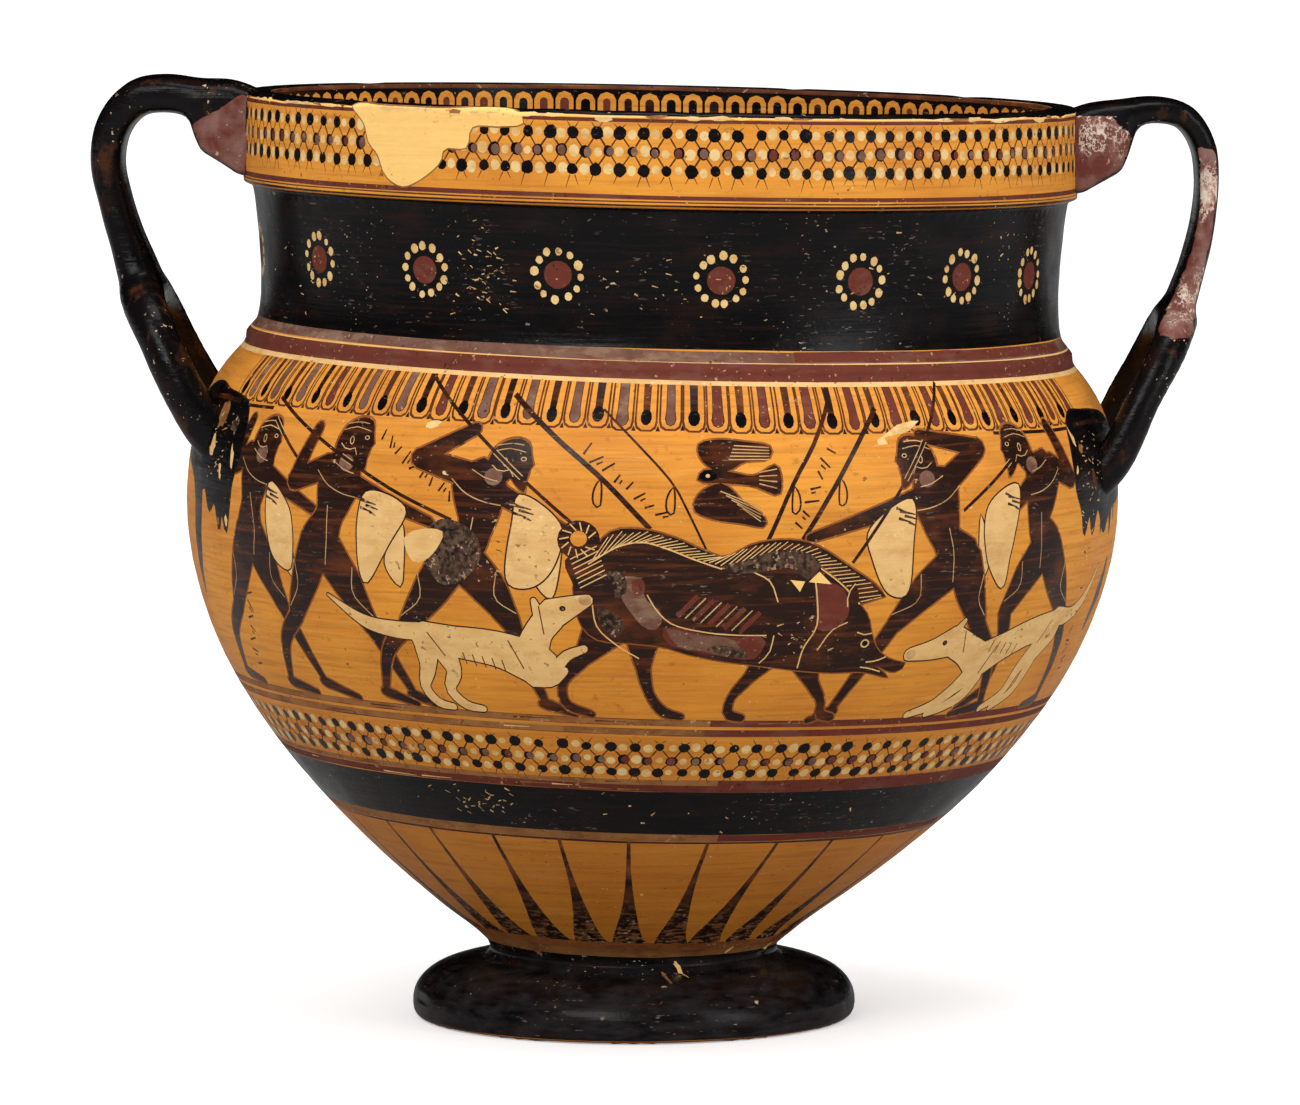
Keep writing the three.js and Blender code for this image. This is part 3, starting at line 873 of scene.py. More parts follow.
def paint_hunter(painting, pose, draw):
    """A hunter about to throw, a cloth hung over the arm held out."""
    paint_body(painting, pose["at"], pose["way"], pose, draw)
    if pose["lobe"]:
        paint_cloth(painting, pose["lobe"], smeared=False)
    paint_cloth(painting, pose["cloth"])
    spear = pose["spear"]
    head_u, head_z = placed([pose["head"]], pose["at"], pose["way"])[0]
    crossing = [p for p in smooth_line(spear, 3) if math.hypot(p[0] - head_u, p[1] - head_z) < 10]
    if len(crossing) > 1:
        painting.figure(SCRATCH, stroke(crossing, 2.1, 6))
    painting.figure(FIGURE, stroke(spear, 1.35, 6))


BOAR_BACK = [(-24, 197), (-13, 204), (-4, 206), (5, 204), (16, 200), (27, 196.5), (40, 199), (52, 201),
             (63, 199), (75, 191), (84, 183)]
BOAR_MANE = [(-19, 207), (-14, 210.5), (-1, 210.5), (10, 207.5), (21, 203), (28, 201), (38, 206), (52, 208),
             (63, 206), (79, 197), (89, 191), (95, 186)]
BOAR_HEAD = [(88, 179), (92, 171), (96, 165), (103, 161), (112, 158.5), (107, 155.5), (97, 158.5),
             (105, 153.5), (92, 156), (77, 156), (63, 157)]
BOAR_BELLY = [(45, 159), (28, 161), (17, 163), (5, 166), (-8, 167), (-20, 168)]
BOAR_RUMP = [(-26, 173), (-28.5, 180), (-29.5, 188)]
BOAR_LEGS = [
    ([(-17, 172), (-26, 160), (-34, 150), (-33, 142), (-22, 138)], (17, 6.5, 3.4, 3.6, 2.4)),
    ([(-2, 172), (-1, 157), (2, 147), (8, 140), (16, 138)], (15, 5.5, 3.4, 4, 2.4)),
    ([(50, 165), (43, 155), (36, 145.5), (36, 139.5), (42, 137.8)], (13, 5, 3.2, 4, 3)),
    ([(64, 163), (70, 152), (76, 144.5), (77, 139.5), (83, 137.8)], (14, 5, 3.2, 4, 3)),
]


BOAR_TUFT = [(-33, 198), (-22, 204), (-13, 203), (-19, 193), (-28, 186), (-30, 190)]
BOAR_TAIL = (-28, 206)
BOAR_FLANK = [  # purple and wear on the flank, before the hatching that crosses it
    ("patch", LILAC, 3, [(-12, 192), (-3, 192), (-2, 185), (5, 179), (4, 173), (-1, 173), (-7, 179),
                         (-11, 185)]),
    ("patch", RED, 2, [(-7, 191.5), (-2.5, 191.5), (-2.5, 186), (-6, 186)]),
    ("patch", WORN, 2, [(-17, 194), (-12, 194.5), (-9, 191), (-10, 185), (-13, 184), (-14, 189)]),
    ("patch", WORN, 2, [(-20, 180), (-12, 178), (-9, 173), (-13, 169), (-18, 173)]),
    ("line", CREAM, 0.5, [(-1, 186), (3, 180), (9, 175), (22, 172), (35, 171), (47, 171)]),
    ("patch", RED, 4, [(6, 173.5), (23, 171), (36, 170), (47, 170), (45.5, 164), (43, 161.5), (28, 163),
                       (15, 165), (7, 168)]),
    ("patch", LILAC, 4, [(7, 173), (20, 170.8), (33, 169.5), (37, 166), (34, 163), (22, 164.5), (12, 166.5)]),
    ("patch", WORN, 3, [(25, 166.5), (38, 165.5), (41, 162.5), (28, 163.4)]),
]
BOAR_FRONT = [  # the neck, the shoulder's lines, the ear, the eye and the mouth
    ("patch", RED, 3, [(65, 191), (75, 190), (80, 180), (76, 174), (68, 173), (66, 181)]),
    ("line", CREAM, 0.6, [(64, 193), (66, 184), (67, 174), (63, 166), (62, 158)]),
    ("line", CREAM, 0.5, [(80, 176), (74, 173), (69, 165)]),
    ("line", CREAM, 0.5, [(50, 171), (49, 164), (45.5, 160)]),
    ("line", CREAM, 0.5, [(38, 196), (46, 192), (50, 184)]),
    ("line", CREAM, 0.5, [(-22, 182), (-20, 173), (-12, 166), (-3, 161)]),
    ("oval", FIGURE, 12, (81, 186, 4.5, 10, 12)),
    ("line", CREAM, 0.5, [(79, 182), (78.5, 187), (81, 191)]),
    ("oval", CREAM, 12, (89.5, 167.5, 4, 3.4, 0)),
    ("oval", BLACK, 10, (89.5, 167.5, 2.7, 2.3, 0)),
    ("line", CREAM, 0.5, [(85, 172), (88, 171), (92, 171.5)]),
    ("line", CREAM, 0.6, [(92, 160), (97, 160.5), (101, 162)]),
    ("line", CREAM, 0.5, [(90, 158), (94, 157.5), (100, 156)]),
    ("patch", WORN, 3, [(27, 197.5), (36, 200), (46, 203.5), (56, 204), (65, 200), (66, 195), (60, 193),
                        (55, 197), (44, 196), (34, 195)]),
]
BOAR_FILLS = [[(61.5, 191.8), (71, 190.9), (65.5, 195.8)], [(54, 192.6), (60, 192), (58.3, 188)]]
BRISTLES = 50


def between(top, bottom, share):
    """A place on each of two lines, the same share of the way along them."""
    ends = []
    for points in (top, bottom):
        points = np.asarray(points, float)
        along = lengths(points)
        ends.append([np.interp(share * along[-1], along, points[:, k]) for k in (0, 1)])
    return np.array(ends)


def paint_bristles(painting, draw):
    """The mane's hatching and the two lines beneath it."""
    for k in range(BRISTLES):
        share = (k + 0.5) / BRISTLES
        low = between(BOAR_BACK, BOAR_MANE, share)[0]
        high = between(BOAR_BACK, BOAR_MANE, min(1, share + 0.022))[1]
        reach = draw.uniform(0.82, 0.95)
        painting.figure(CREAM, streak(low + (high - low) * 0.1, low + (high - low) * reach, 0.42, 0.7))
    painting.figure(CREAM, stroke(BOAR_BACK[:6], 0.55, 3.5))
    painting.figure(CREAM, stroke(BOAR_BACK[8:], 0.5, 3.5))


def paint_tail(painting):
    """The curled tail with its rays, over a hatched tuft."""
    u, z = BOAR_TAIL
    painting.closed(FIGURE, BOAR_TUFT, 3)
    painting.figure(FIGURE, oval(u, z, 16.5, 15, 0, 18))
    painting.figure(CLAY, oval(u, z + 0.5, 6.5, 6, 0, 12))
    for k in range(11):
        angle = TURN * (k + 0.5) / 12
        start = (u + 3.9 * math.cos(angle), z + 3.6 * math.sin(angle))
        end = (u + 7.4 * math.cos(angle + 0.25), z + 6.8 * math.sin(angle + 0.25))
        painting.figure(CREAM, streak(start, end, 0.5))
    for k in range(7):
        start = (u - 3 + k * 0.7, z - 9.5 - 1.8 * k + 2)
        painting.figure(CREAM, streak(start, (start[0] + 10, start[1] + 5.5), 0.42))


def paint_boar(painting, draw):
    """The boar at bay, its bristles hatched and its flanks laid over with purple."""
    body = smooth_line(BOAR_BACK + BOAR_HEAD, 3.0)
    outline = np.vstack([body, smooth_line([BOAR_HEAD[-1]] + BOAR_BELLY + BOAR_RUMP, 4.0)[1:]])
    mane = np.vstack([smooth_line(BOAR_MANE, 4.0), smooth_line(BOAR_BACK[::-1], 4.0)])
    painting.limbs(HALO, FIGURE, BOAR_LEGS, 0.7)
    painting.edged(HALO, FIGURE, mane, 0.7)
    painting.edged(HALO, FIGURE, outline, 0.5)
    paint_tail(painting)
    paint_bristles(painting, draw)
    painting.layers(BOAR_FLANK)
    for k in range(9):
        foot = (11 + 3.1 * k, 178 - 0.75 * k)
        hatch = streak(foot, (foot[0] + 7.5, foot[1] + 8), 0.5 if k % 2 else 2.0)
        painting.figure(SCRATCH if k % 2 else RED, hatch)
    painting.layers(BOAR_FRONT)
    for triangle in BOAR_FILLS:
        painting.figure(FILL, triangle)


DOGS = [
    {"parts": [([(-44, 157), (-60, 162), (-80, 164), (-93, 165)], (17, 14, 12, 12)),
               ([(-47, 160), (-43, 170), (-38, 176)], (14, 11, 11)),
               ([(-38, 177), (-30, 180.5), (-24, 183)], (12, 8, 4.6)),
               ([(-43, 177), (-45, 182)], (4.5, 2.2)),
               ([(-93, 167), (-106, 167), (-120, 169), (-138, 178)], (7, 6.5, 5, 1)),
               ([(-92, 163), (-93, 153), (-96, 145), (-91, 139), (-84, 137.8)], (12, 7, 4.4, 3.6, 2.4)),
               ([(-84, 160), (-81, 152), (-84, 145), (-78, 139), (-70, 137.8)], (10, 6.5, 4.4, 3.6, 2.4)),
               ([(-47, 154), (-37, 156), (-32, 161), (-25, 164)], (9, 5, 4, 3)),
               ([(-46, 152), (-38, 151), (-33, 155)], (8, 4.4, 3))],
     "ribs": (-76, 160), "eye": (-33.5, 179.5), "way": 1},
    {"parts": [([(152, 158), (165, 163), (182, 168), (200, 170)], (15, 12, 11, 12)),
               ([(152, 158), (143, 163), (134, 167)], (15, 12, 12)),
               ([(134, 167), (123, 164), (112, 162.5)], (12, 8, 5)),
               ([(134, 171), (137, 175)], (4, 2)),
               ([(200, 173), (214, 173), (226, 179), (236, 191)], (8, 6, 4.4, 1)),
               ([(150, 153), (143, 147), (134, 141), (122, 137.6)], (9, 5.5, 4, 2.6)),
               ([(154, 152), (151, 145), (141, 140), (133, 137.6)], (8, 5.5, 4, 2.6)),
               ([(200, 168), (192, 157), (188, 145), (176, 138)], (13, 6.5, 4.4, 2.8)),
               ([(192, 162), (183, 152), (180, 144), (168, 138)], (9, 5.5, 4.4, 2.8))],
     "ribs": (158, 166), "eye": (129, 166.5), "way": -1},
]


def paint_dog(painting, dog):
    """A pale hound drawn with a dark line, its ribs marked."""
    painting.limbs(FIGURE, CREAM, dog["parts"], 0.55)
    way, eye = dog["way"], dog["eye"]
    u, z = dog["ribs"]
    for k in range(5):
        start = (u + 4.2 * k, z - 0.5 * k)
        painting.figure(BROWN, streak(start, (start[0] + 1.4 * way, start[1] - 4.5), 0.5))
    painting.figure(FIGURE, oval(*eye, 2.6, 2.2, 0, 9))
    painting.figure(WORN, oval(*eye, 1.2, 1.0, 0, 7))
    trunk, neck, muzzle = (points for points, _ in dog["parts"][:3])
    painting.figure(SCRATCH, oval(muzzle[-1][0] - 0.8 * way, muzzle[-1][1], 5, 4, 0, 10))
    collar = [(neck[2][0] - way * 5, neck[2][1] + 4), (neck[1][0] + way * 2, neck[1][1] - 1)]
    painting.figure(BROWN, streak(*collar, 0.5))
    hip, root = trunk[-1], neck[0]
    painting.figure(BROWN, stroke([(hip[0] + way * 2, hip[1] + 2), (hip[0] + way * 9, hip[1] - 7)], 0.5))
    painting.figure(BROWN, stroke([(root[0] - way * 9, root[1] + 6), (root[0] - way * 3, root[1] - 5)], 0.5))


BIRD = [  # the body, the upper wing and the lower one
    [(16, 230), (18, 233.5), (22, 234), (30, 233), (38, 232), (47, 236), (48, 225), (38, 228), (26, 229),
     (19, 229)],
    [(24, 233), (17, 238), (16, 243), (22, 245), (34, 244.5), (45, 242.5), (44, 238.5), (34, 237), (29, 234)],
    [(25, 229), (17, 225), (15, 219), (22, 215.5), (33, 214), (43, 213), (42, 217), (34, 222), (29, 227)],
]


def paint_bird(painting):
    """A small bird on the wing, in thin brown gloss."""
    shapes = [smooth_line(points, 2.4, closed=True) for points in BIRD]
    for shape in shapes:
        painting.figure(HALO, grown(shape, 0.7))
    for shape in shapes:
        painting.figure(FIGURE, shape)
    painting.figure(BLACK, oval(20, 231.5, 7, 4, 0, 12))
    painting.figure(CREAM, oval(20, 231.6, 1.8, 1.5, 0, 8))
    for k in range(5):
        painting.figure(SCRATCH, streak((30 - k * 0.5, 243 - 1.3 * k), (44, 242.5 - 1.1 * k), 0.4))
        painting.figure(SCRATCH, streak((25 + 2.2 * k, 226 - 1.6 * k), (41, 220 - 1.3 * k), 0.4))
    for k in range(4):
        painting.figure(SCRATCH, streak((40, 229 + 1.4 * k), (47, 227.4 + 2.4 * k), 0.4))


def paint_marks(painting, first, last, count, draw):
    """A row of small brush marks that spell nothing."""
    first, last = np.array(first, float), np.array(last, float)
    way = (last - first) / np.linalg.norm(last - first)
    side = np.array([-way[1], way[0]])
    for k in range(count):
        at = first + (last - first) * (k + 0.5) / count + side * draw.uniform(-0.8, 0.8)
        lean = draw.uniform(-0.7, 0.7)
        tall = side * math.cos(lean) + way * math.sin(lean)
        reach = draw.uniform(1.8, 3.0)
        painting.figure(FIGURE, streak(at - tall * reach, at + tall * reach, 0.95, 0.7))
        if k % 2:
            beside = at + way * 1.9
            start, end = beside - tall * reach * 0.5, beside + tall * reach * 0.4
            painting.figure(FIGURE, streak(start, end, 0.85, 0.7))


WALKERS = [(-546, 1), (-470, 1), (-396, 1), (546, -1), (470, -1), (396, -1)]
WALKING = {"hip": (0, 58), "waist": (1, 70), "chest": (2, 84), "head": (6, 100), "elbow": (10, 78),
           "hand": (20, 80), "reach": (19, 82), "rear": ((-9, 31), (-14, 4), (-2, 0)),
           "front": ((9, 31), (13, 4), (26, 0))}
CLOAK = [(-9, 90), (2, 93), (12, 88), (15, 74), (14, 52), (17, 34), (4, 27), (-12, 30), (-13, 50), (-14, 74)]


def paint_walker(painting, at, way, draw):
    """A man who walks wrapped in a cloak and carries a spear, for the side that's seldom seen."""
    paint_body(painting, at, way, WALKING, draw, haloed=False)
    shape = smooth_line(placed(CLOAK, at, way), 3, closed=True)
    painting.edged(FIGURE, RED if draw.random() < 0.6 else BLACK, shape, 0.7)
    for k in range(4):
        fold = [(-9 + 6 * k, 84 - 2 * k), (-8 + 5.5 * k, 58), (-10 + 7 * k, 33 + k)]
        painting.figure(CREAM if k % 2 else FIGURE, stroke(placed(fold, at, way), 0.6, 5))
    painting.figure(FIGURE, stroke(placed([(21, 46), (20, 80), (18, 112)], at, way), 1.5, 8))


MARKS = [  # rows of marks: start, end, how many
    ((-116, 242), (-78, 219), 9), ((-29, 242), (5, 215), 8), ((70, 244), (55, 211), 7),
    ((-191, 176), (-204, 143), 7), ((222, 168), (233, 148), 5),
]
SPEARS = [  # those that fly or lean by themselves: places, width, where the loop is tied
    ([(-60, 259), (-40, 244), (-20, 229), (-1, 211)], 2.0, (-21, 229)),
    ([(-22, 255), (-8, 243), (7, 228), (14, 216), (21, 203)], 0.9, (7, 227)),
    ([(71, 259), (62, 243), (54, 230), (44, 207)], 1.7, (54, 228)),
    ([(92, 257), (82, 245), (73, 232), (58, 208)], 1.9, (73, 231)),
]
FAR_LIMBS = [  # limbs of figures that the handles' dark gloss hides
    ([(-238, 222), (-240, 204), (-243, 188), (-248, 170)], (6, 12, 10, 3)),
    ([(251, 192), (249, 180), (244, 166)], (3, 10, 4)),
]
FRINGE_ENDS = [[(-214, 246.5), (-200, 246.2), (-182, 246.6)], [(212, 246.5), (190, 246.2), (150, 246.7)]]


def paint_frieze(painting):
    """The hunt on the front, and plainer walkers round the back."""
    draw = random.Random(77)
    for start, end, count in MARKS:
        paint_marks(painting, start, end, count, draw)
    paint_bird(painting)
    for spear in SPEARS:
        paint_spear(painting, *spear)
    for points, widths in FAR_LIMBS:
        painting.figure(FIGURE, limb(points, widths))
    for points in FRINGE_ENDS:
        painting.figure(FIGURE, stroke(points, 1.3, 6))
    for index in (0, 1, 4, 2, 3):
        paint_hunter(painting, HUNTERS[index], draw)
    painting.closed(WORN, oval(-79.5, 199, 25, 24, 0, 11) + jitter(11, 1.2, 1.2, draw))
    painting.closed(CREAM, [(-99, 203), (-90, 207), (-82, 206), (-88, 196), (-95, 194)], 2.5)
    paint_boar(painting, draw)
    for dog in DOGS:
        paint_dog(painting, dog)
    for at, way in WALKERS:
        paint_walker(painting, at, way, draw)


# ---- damage and wear
PLASTER = [
    (-149, 366.2), (-128, 366.4), (-100, 366.4), (-62, 366.4), (-60, 362), (-70, 360.5), (-84, 359.5),
    (-86, 352), (-97, 351), (-99, 346), (-110, 338.5), (-119, 336), (-128, 340), (-133, 348), (-138, 352),
    (-141, 359),
]
LIP_LEVEL = 365.6
LIP_CHIPS = [  # the larger ones: u, height, width, depth down the rim
    (-60, 365.8, 14, 2.2), (-25, 364.6, 8, 2.6), (14, 365.3, 7, 2), (170, 365.2, 17, 2.6),
    (203, 365, 13, 2.6),
]
ROOT_PLACES = (243, 341)  # where the handles' roots stand round the pot
SPLASHES = [  # gloss that ran down below the handles, in front
    [(-292, 240), (-266, 250), (-247, 252), (-230, 250), (-216, 249), (-203, 246), (-198, 238), (-198, 226),
     (-202, 215), (-203, 205), (-206, 196), (-210, 203), (-213, 196), (-218, 207), (-224, 203), (-232, 212),
     (-243, 205), (-252, 215), (-270, 221), (-292, 226)],
    [(292, 238), (268, 248), (246, 251), (228, 252), (212, 252), (205, 247), (203, 234), (204, 222),
     (209, 213), (212, 204), (217, 212), (221, 204), (227, 214), (236, 204), (246, 212), (268, 216),
     (292, 224)],
]
LOOSE = [  # single spots where paint has come away: u, height, width, tallness, paint
    (58, 26, 9, 4, CREAM), (37, 23.5, 6, 2.5, TAN), (212, 31.6, 16, 3.4, FILL), (-130, 30.5, 12, 2.2, TAN),
    (128, 33, 8, 2.6, FILL), (-225, 241, 8, 11, TAN), (-228, 228, 6, 9, CREAM), (-209, 238, 7, 6, WORN),
    (-205, 226, 2.5, 9, CREAM), (-215, 219, 2.5, 6, CREAM), (-206, 201, 3, 4, CREAM), (-214, 200, 3, 3, TAN),
    (207, 243, 2, 8, CREAM), (213, 238, 5, 4, TAN), (206, 230, 1.6, 4, CREAM), (224, 226, 3, 9, BROWN),
    (99, 247.6, 26, 2.6, DOT), (-92, 246.5, 6, 3, DOT),
]
SCUFFS = [  # clusters of scratches: u, height, spread across and up, how many
    (-84, 306, 17, 15, 60), (-200, 300, 26, 20, 20), (-84, 98, 34, 6.5, 44), (60, 97, 90, 6, 20),
    (-222, 232, 14, 20, 30), (224, 232, 12, 18, 34), (217, 198, 9, 28, 36), (150, 34, 60, 2.5, 18),
    (-40, 300, 80, 18, 22), (120, 300, 80, 20, 20), (-60, 200, 12, 25, 14), (60, 170, 20, 10, 16),
]


def paint_lip_chips(painting, draw):
    """The plaster fill in the rim and the chips along the lip."""
    painting.edged(TAN, FILL, smooth_line(PLASTER, 3, closed=True), 0.6)
    chips = [(u, LIP_LEVEL, draw.uniform(4, 15), draw.uniform(0.7, 1.7))
             for u in range(-236, 250, 9) if draw.random() < 0.62]
    chips += [(u, LIP_LEVEL, draw.uniform(4, 12), draw.uniform(0.7, 1.5))
              for u in (*range(250, 560, 17), *range(-560, -250, 19))]
    for u, z, wide, tall in chips + LIP_CHIPS:
        shape = oval(u, z, wide, tall, draw.uniform(-4, 4), 9) + jitter(9, 0.9, 0.3, draw)
        shape[:, 1] = np.minimum(shape[:, 1], RIM_HEIGHT - 1.0)
        painting.figure(draw.choice((CREAM, FILL, TAN, DOT)), shape)


def paint_root_gloss(painting, draw):
    """The black gloss round the handles' roots, and where it ran down."""
    for handle in HANDLES[::-1]:
        for at in ROOT_PLACES:
            edge = []
            for k in range(24):
                angle = TURN * k / 24
                reach = 15.5 + draw.uniform(-1.5, 1.5)
                drip = draw.uniform(3, 20) if 13 < k < 23 and k % 2 else 0
                across = handle["side"] * at + reach * math.cos(angle)
                edge.append((across, handle["root"] - 2 + 15.5 * math.sin(angle) - drip * 0.8))
            painting.closed(BLACK, edge, 3)
    for splash in SPLASHES:
        painting.edged(FIGURE, BLACK, smooth_line(splash, 3, closed=True), 0.7)


def paint_scuffs(painting, draw):
    """Loose spots and scratches all over."""
    for u, z, wide, tall, colour in LOOSE:
        shape = oval(u, z, wide, tall, draw.uniform(-30, 30), 11)
        painting.figure(colour, shape + jitter(11, 0.16, 0.16, draw) * (wide, tall))
    for u, z, wide, tall, count in SCUFFS:
        for _ in range(count):
            at = (u + draw.gauss(0, 0.5) * wide, z + draw.gauss(0, 0.5) * tall)
            lean, reach = draw.uniform(-0.9, 0.9), draw.uniform(0.7, 3.0)
            end = (at[0] + reach * math.cos(lean), at[1] + reach * math.sin(lean) * 0.7)
            paint = draw.choice((SCRATCH, WORN, SCRATCH, DOT))
            painting.figure(paint, streak(at, end, draw.uniform(0.3, 0.8), 0.5))


def paint_damage(painting):
    """The plaster fill in the rim, chipped edges, and the gloss that ran down from the handles."""
    draw = random.Random(404)
    paint_lip_chips(painting, draw)
    paint_root_gloss(painting, draw)
    paint_scuffs(painting, draw)
    for side in (-1, 1):
        for near, far in ((212, 254), (330, 372)):
            ends = [(side * near, 247), (side * (near + far) / 2, 247.5), (side * far, 246.5)]
            painting.figure(FIGURE, stroke(ends, 1.8, 6))


# ---- cutting the sheet
def cut_sheet(painting):
    """The whole sheet as triangles, each on one side of every painted outline.

    Rows that are tight are joined up as edges. The others leave out points close to an outline."""
    points, edges = list(painting.points), list(painting.edges)
    near = kdtree.KDTree(len(points))
    for index, (u, s) in enumerate(points):
        near.insert(Vector((u, s, 0)), index)
    near.balance()
    done = set()
    for name, _, row_step, cell in STRETCHES:
        start, end = PLACES[name]
        rows = max(1, math.ceil((end - start) / row_step))
        levels = list(np.linspace(start, end, rows + 1))
        if name in ("neck", "rim", "shoulder"):
            levels = sorted(levels + [start + CORNER_ROW, end - CORNER_ROW])
        for row, s in enumerate(levels):
            if round(float(s), 3) in done:
                continue
            done.add(round(float(s), 3))
            count = max(14, int(round(TURN * float(radius_at(s)) / cell)))
            plain = row_step < cell / 2 or cell >= INNER_CELL or s < OUTSIDE[0] or name == "lip top"
            tight = plain and name != "inner rim"
            shift = 0 if tight or name == "inner rim" or row % 2 else 0.5
            us = [-ROUND / 2 + (k + shift) * ROUND / count for k in range(count)]
            us = [*([-ROUND / 2] if shift else []), *us, ROUND / 2]
            first = len(points)
            for k, u in enumerate(us):
                border = k in (0, len(us) - 1)
                if tight or border or near.find(Vector((u, s, 0)))[2] > cell * 0.36:
                    points.append((u, float(s)))
            if tight:
                edges.extend((first + k, first + k + 1) for k in range(len(points) - first - 1))
    out = delaunay_2d_cdt([Vector(p) for p in points], edges, [], 0, 1e-3, False)
    return np.array([tuple(v) for v in out[0]]), np.array([list(f) for f in out[2]])


def welded(sheet, faces):
    """The sheet's two side borders joined: each face's corners as pot points, and the points kept."""
    left = np.nonzero(sheet[:, 0] < -ROUND / 2 + 1e-2)[0]
    right = np.nonzero(sheet[:, 0] > ROUND / 2 - 1e-2)[0]
    left = left[np.argsort(sheet[left, 1])]
    right = right[np.argsort(sheet[right, 1])]
    if len(left) != len(right) or np.abs(sheet[left, 1] - sheet[right, 1]).max() > 0.02:
        raise ValueError("the sheet's two borders don't match")
    joined = np.arange(len(sheet))
    joined[right] = left
    kept, index = np.unique(joined[faces], return_inverse=True)
    return kept, index.reshape(faces.shape)


# ---- meshes
def new_mesh(name, points, faces):
    """A mesh of triangles or quads from arrays."""
    mesh = bpy.data.meshes.new(name)
    mesh.from_pydata(np.asarray(points).tolist(), [], np.asarray(faces).tolist())
    mesh.update()
    return mesh


def new_object(name, data, materials=()):
    """An object in the scene, from a mesh, a lamp or a camera's lens."""
    thing = bpy.data.objects.new(name, data)
    bpy.context.scene.collection.objects.link(thing)
    for material in materials:
        data.materials.append(material)
    return thing


def keep_corner_normals(mesh, normals):
    """Store a direction on every corner, where a Boolean carries it along."""
    kept = mesh.attributes.new("facing", "FLOAT_VECTOR", "CORNER")
    kept.data.foreach_set("vector", np.ascontiguousarray(normals, np.float32).ravel())


def values(collection, name, width, kind=np.float32):
    """One value of everything in a mesh's collection, as rows of an array."""
    got = np.empty(len(collection) * width, kind)
    collection.foreach_get(name, got)
    return got.reshape(-1, width)


def use_corner_normals(mesh):
    """Shade by the directions that were stored, and drop the store."""
    kept = values(mesh.attributes["facing"].data, "vector", 3)
    size = np.linalg.norm(kept, axis=1, keepdims=True)
    kept = kept / np.maximum(size, 1e-6)
    mesh.shade_smooth()
    mesh.normals_split_custom_set(kept.tolist())
    mesh.attributes.remove(mesh.attributes["facing"])


def sheet_uv(u, s):
    """Where a place on the sheet lies in the piece's picture."""
    start, lip, end = OUTSIDE[0], INSIDE[0] + 4, OUTLINE_S[-1]
    arches = float(inside_at(345))
    under = np.interp(s, [0, start], [0.902, 0.925])
    outside = np.interp(s, [start, lip], [0.002, 0.72])
    rim = np.interp(s, [lip, arches], [0.722, 0.79])
    inner = np.interp(s, [arches, end], [0.792, 0.9])
    up = np.select([s > arches, s > lip, s >= start], [inner, rim, outside], under)
    return np.stack([0.002 + 0.996 * (u / ROUND + 0.5), up], -1)


def body_mesh(painting):
    """The pot's wall as one closed skin, each triangle in its own paint."""
    sheet, faces = cut_sheet(painting)
    centres = sheet[faces].mean(1)
    paint = painting.paints_at(centres[:, 0], centres[:, 1])
    # Each triangle's corners are drawn in a little, so that none straddles two parts of the picture.
    corner_uv = sheet_uv(sheet[faces][..., 0], centres[:, None, 1] * 0.02 + sheet[faces][..., 1] * 0.98)
    corner_normals = wall_normals(sheet[:, 0], sheet[:, 1])[faces]
    kept, faces = welded(sheet, faces)
    points = wall_points(sheet[kept, 0], sheet[kept, 1])
    caps = []
    for s, turn in ((sheet[:, 1].min(), 1), (sheet[:, 1].max(), -1)):
        rim = np.nonzero(np.abs(sheet[kept, 1] - s) < 1e-2)[0]
        rim = rim[np.argsort(sheet[kept[rim], 0])]
        centre = len(points)
        points = np.vstack([points, points[rim].mean(0)])
        for a, b in zip(rim, np.roll(rim, -1)):
            caps.append((centre, b, a) if turn > 0 else (centre, a, b))
    corners = np.array(caps)
    cap_uv = sheet_uv(np.zeros(corners.shape), np.full(corners.shape, 0.0))
    faces = np.vstack([faces, corners])
    mesh = new_mesh("wall", points * MM, faces)
    facing = np.zeros((len(corners), 3, 3))
    facing[:, :, 2] = np.where(points[corners[:, 0], 2] > 20, 1.0, -1.0)[:, None]
    layer = mesh.uv_layers.new(name="OFBake")
    layer.data.foreach_set("uv", np.vstack([corner_uv.reshape(-1, 2), cap_uv.reshape(-1, 2)]).ravel())
    keep_corner_normals(mesh, np.vstack([corner_normals.reshape(-1, 3), facing.reshape(-1, 3)]))
    last = painting.paints_at(np.zeros(2), np.array([0.5, OUTLINE_S[-1] - 0.5]))
    cap_paint = np.where(points[corners[:, 0], 2] > 20, last[1], last[0])
    mesh.polygons.foreach_set("material_index", np.concatenate([paint, cap_paint]).astype(np.int32))
    return mesh


# ---- handles
def normalised(v):
    """The same direction, one long."""
    return v / np.linalg.norm(v)


def ring_faces(rings, sides):
    """Four-sided faces between rings of points, and the two ends."""
    faces = []
    for ring in range(rings - 1):
        for side in range(sides):
            a, b = ring * sides + side, ring * sides + (side + 1) % sides
            faces.append((a, b, b + sides, a + sides))
    faces.append(tuple(range(sides))[::-1])
    faces.append(tuple(range((rings - 1) * sides, rings * sides)))
    return faces


def loft(path, flat_axis, outline, sides):
    """A bar along a path: outline(share, angle) gives its reach across and along at each point."""
    rings = []
    for k, here in enumerate(path):
        way = normalised(path[min(k + 1, len(path) - 1)] - path[max(k - 1, 0)])
        across = normalised(np.cross(flat_axis, way))
        along = np.cross(way, across)
        share = k / (len(path) - 1)
        turns = np.arange(sides) * TURN / sides
        reach = np.array([outline(share, a) for a in turns])
        rings.append(here + reach[:, :1] * across + reach[:, 1:] * along)
    return np.vstack(rings), ring_faces(len(path), sides)


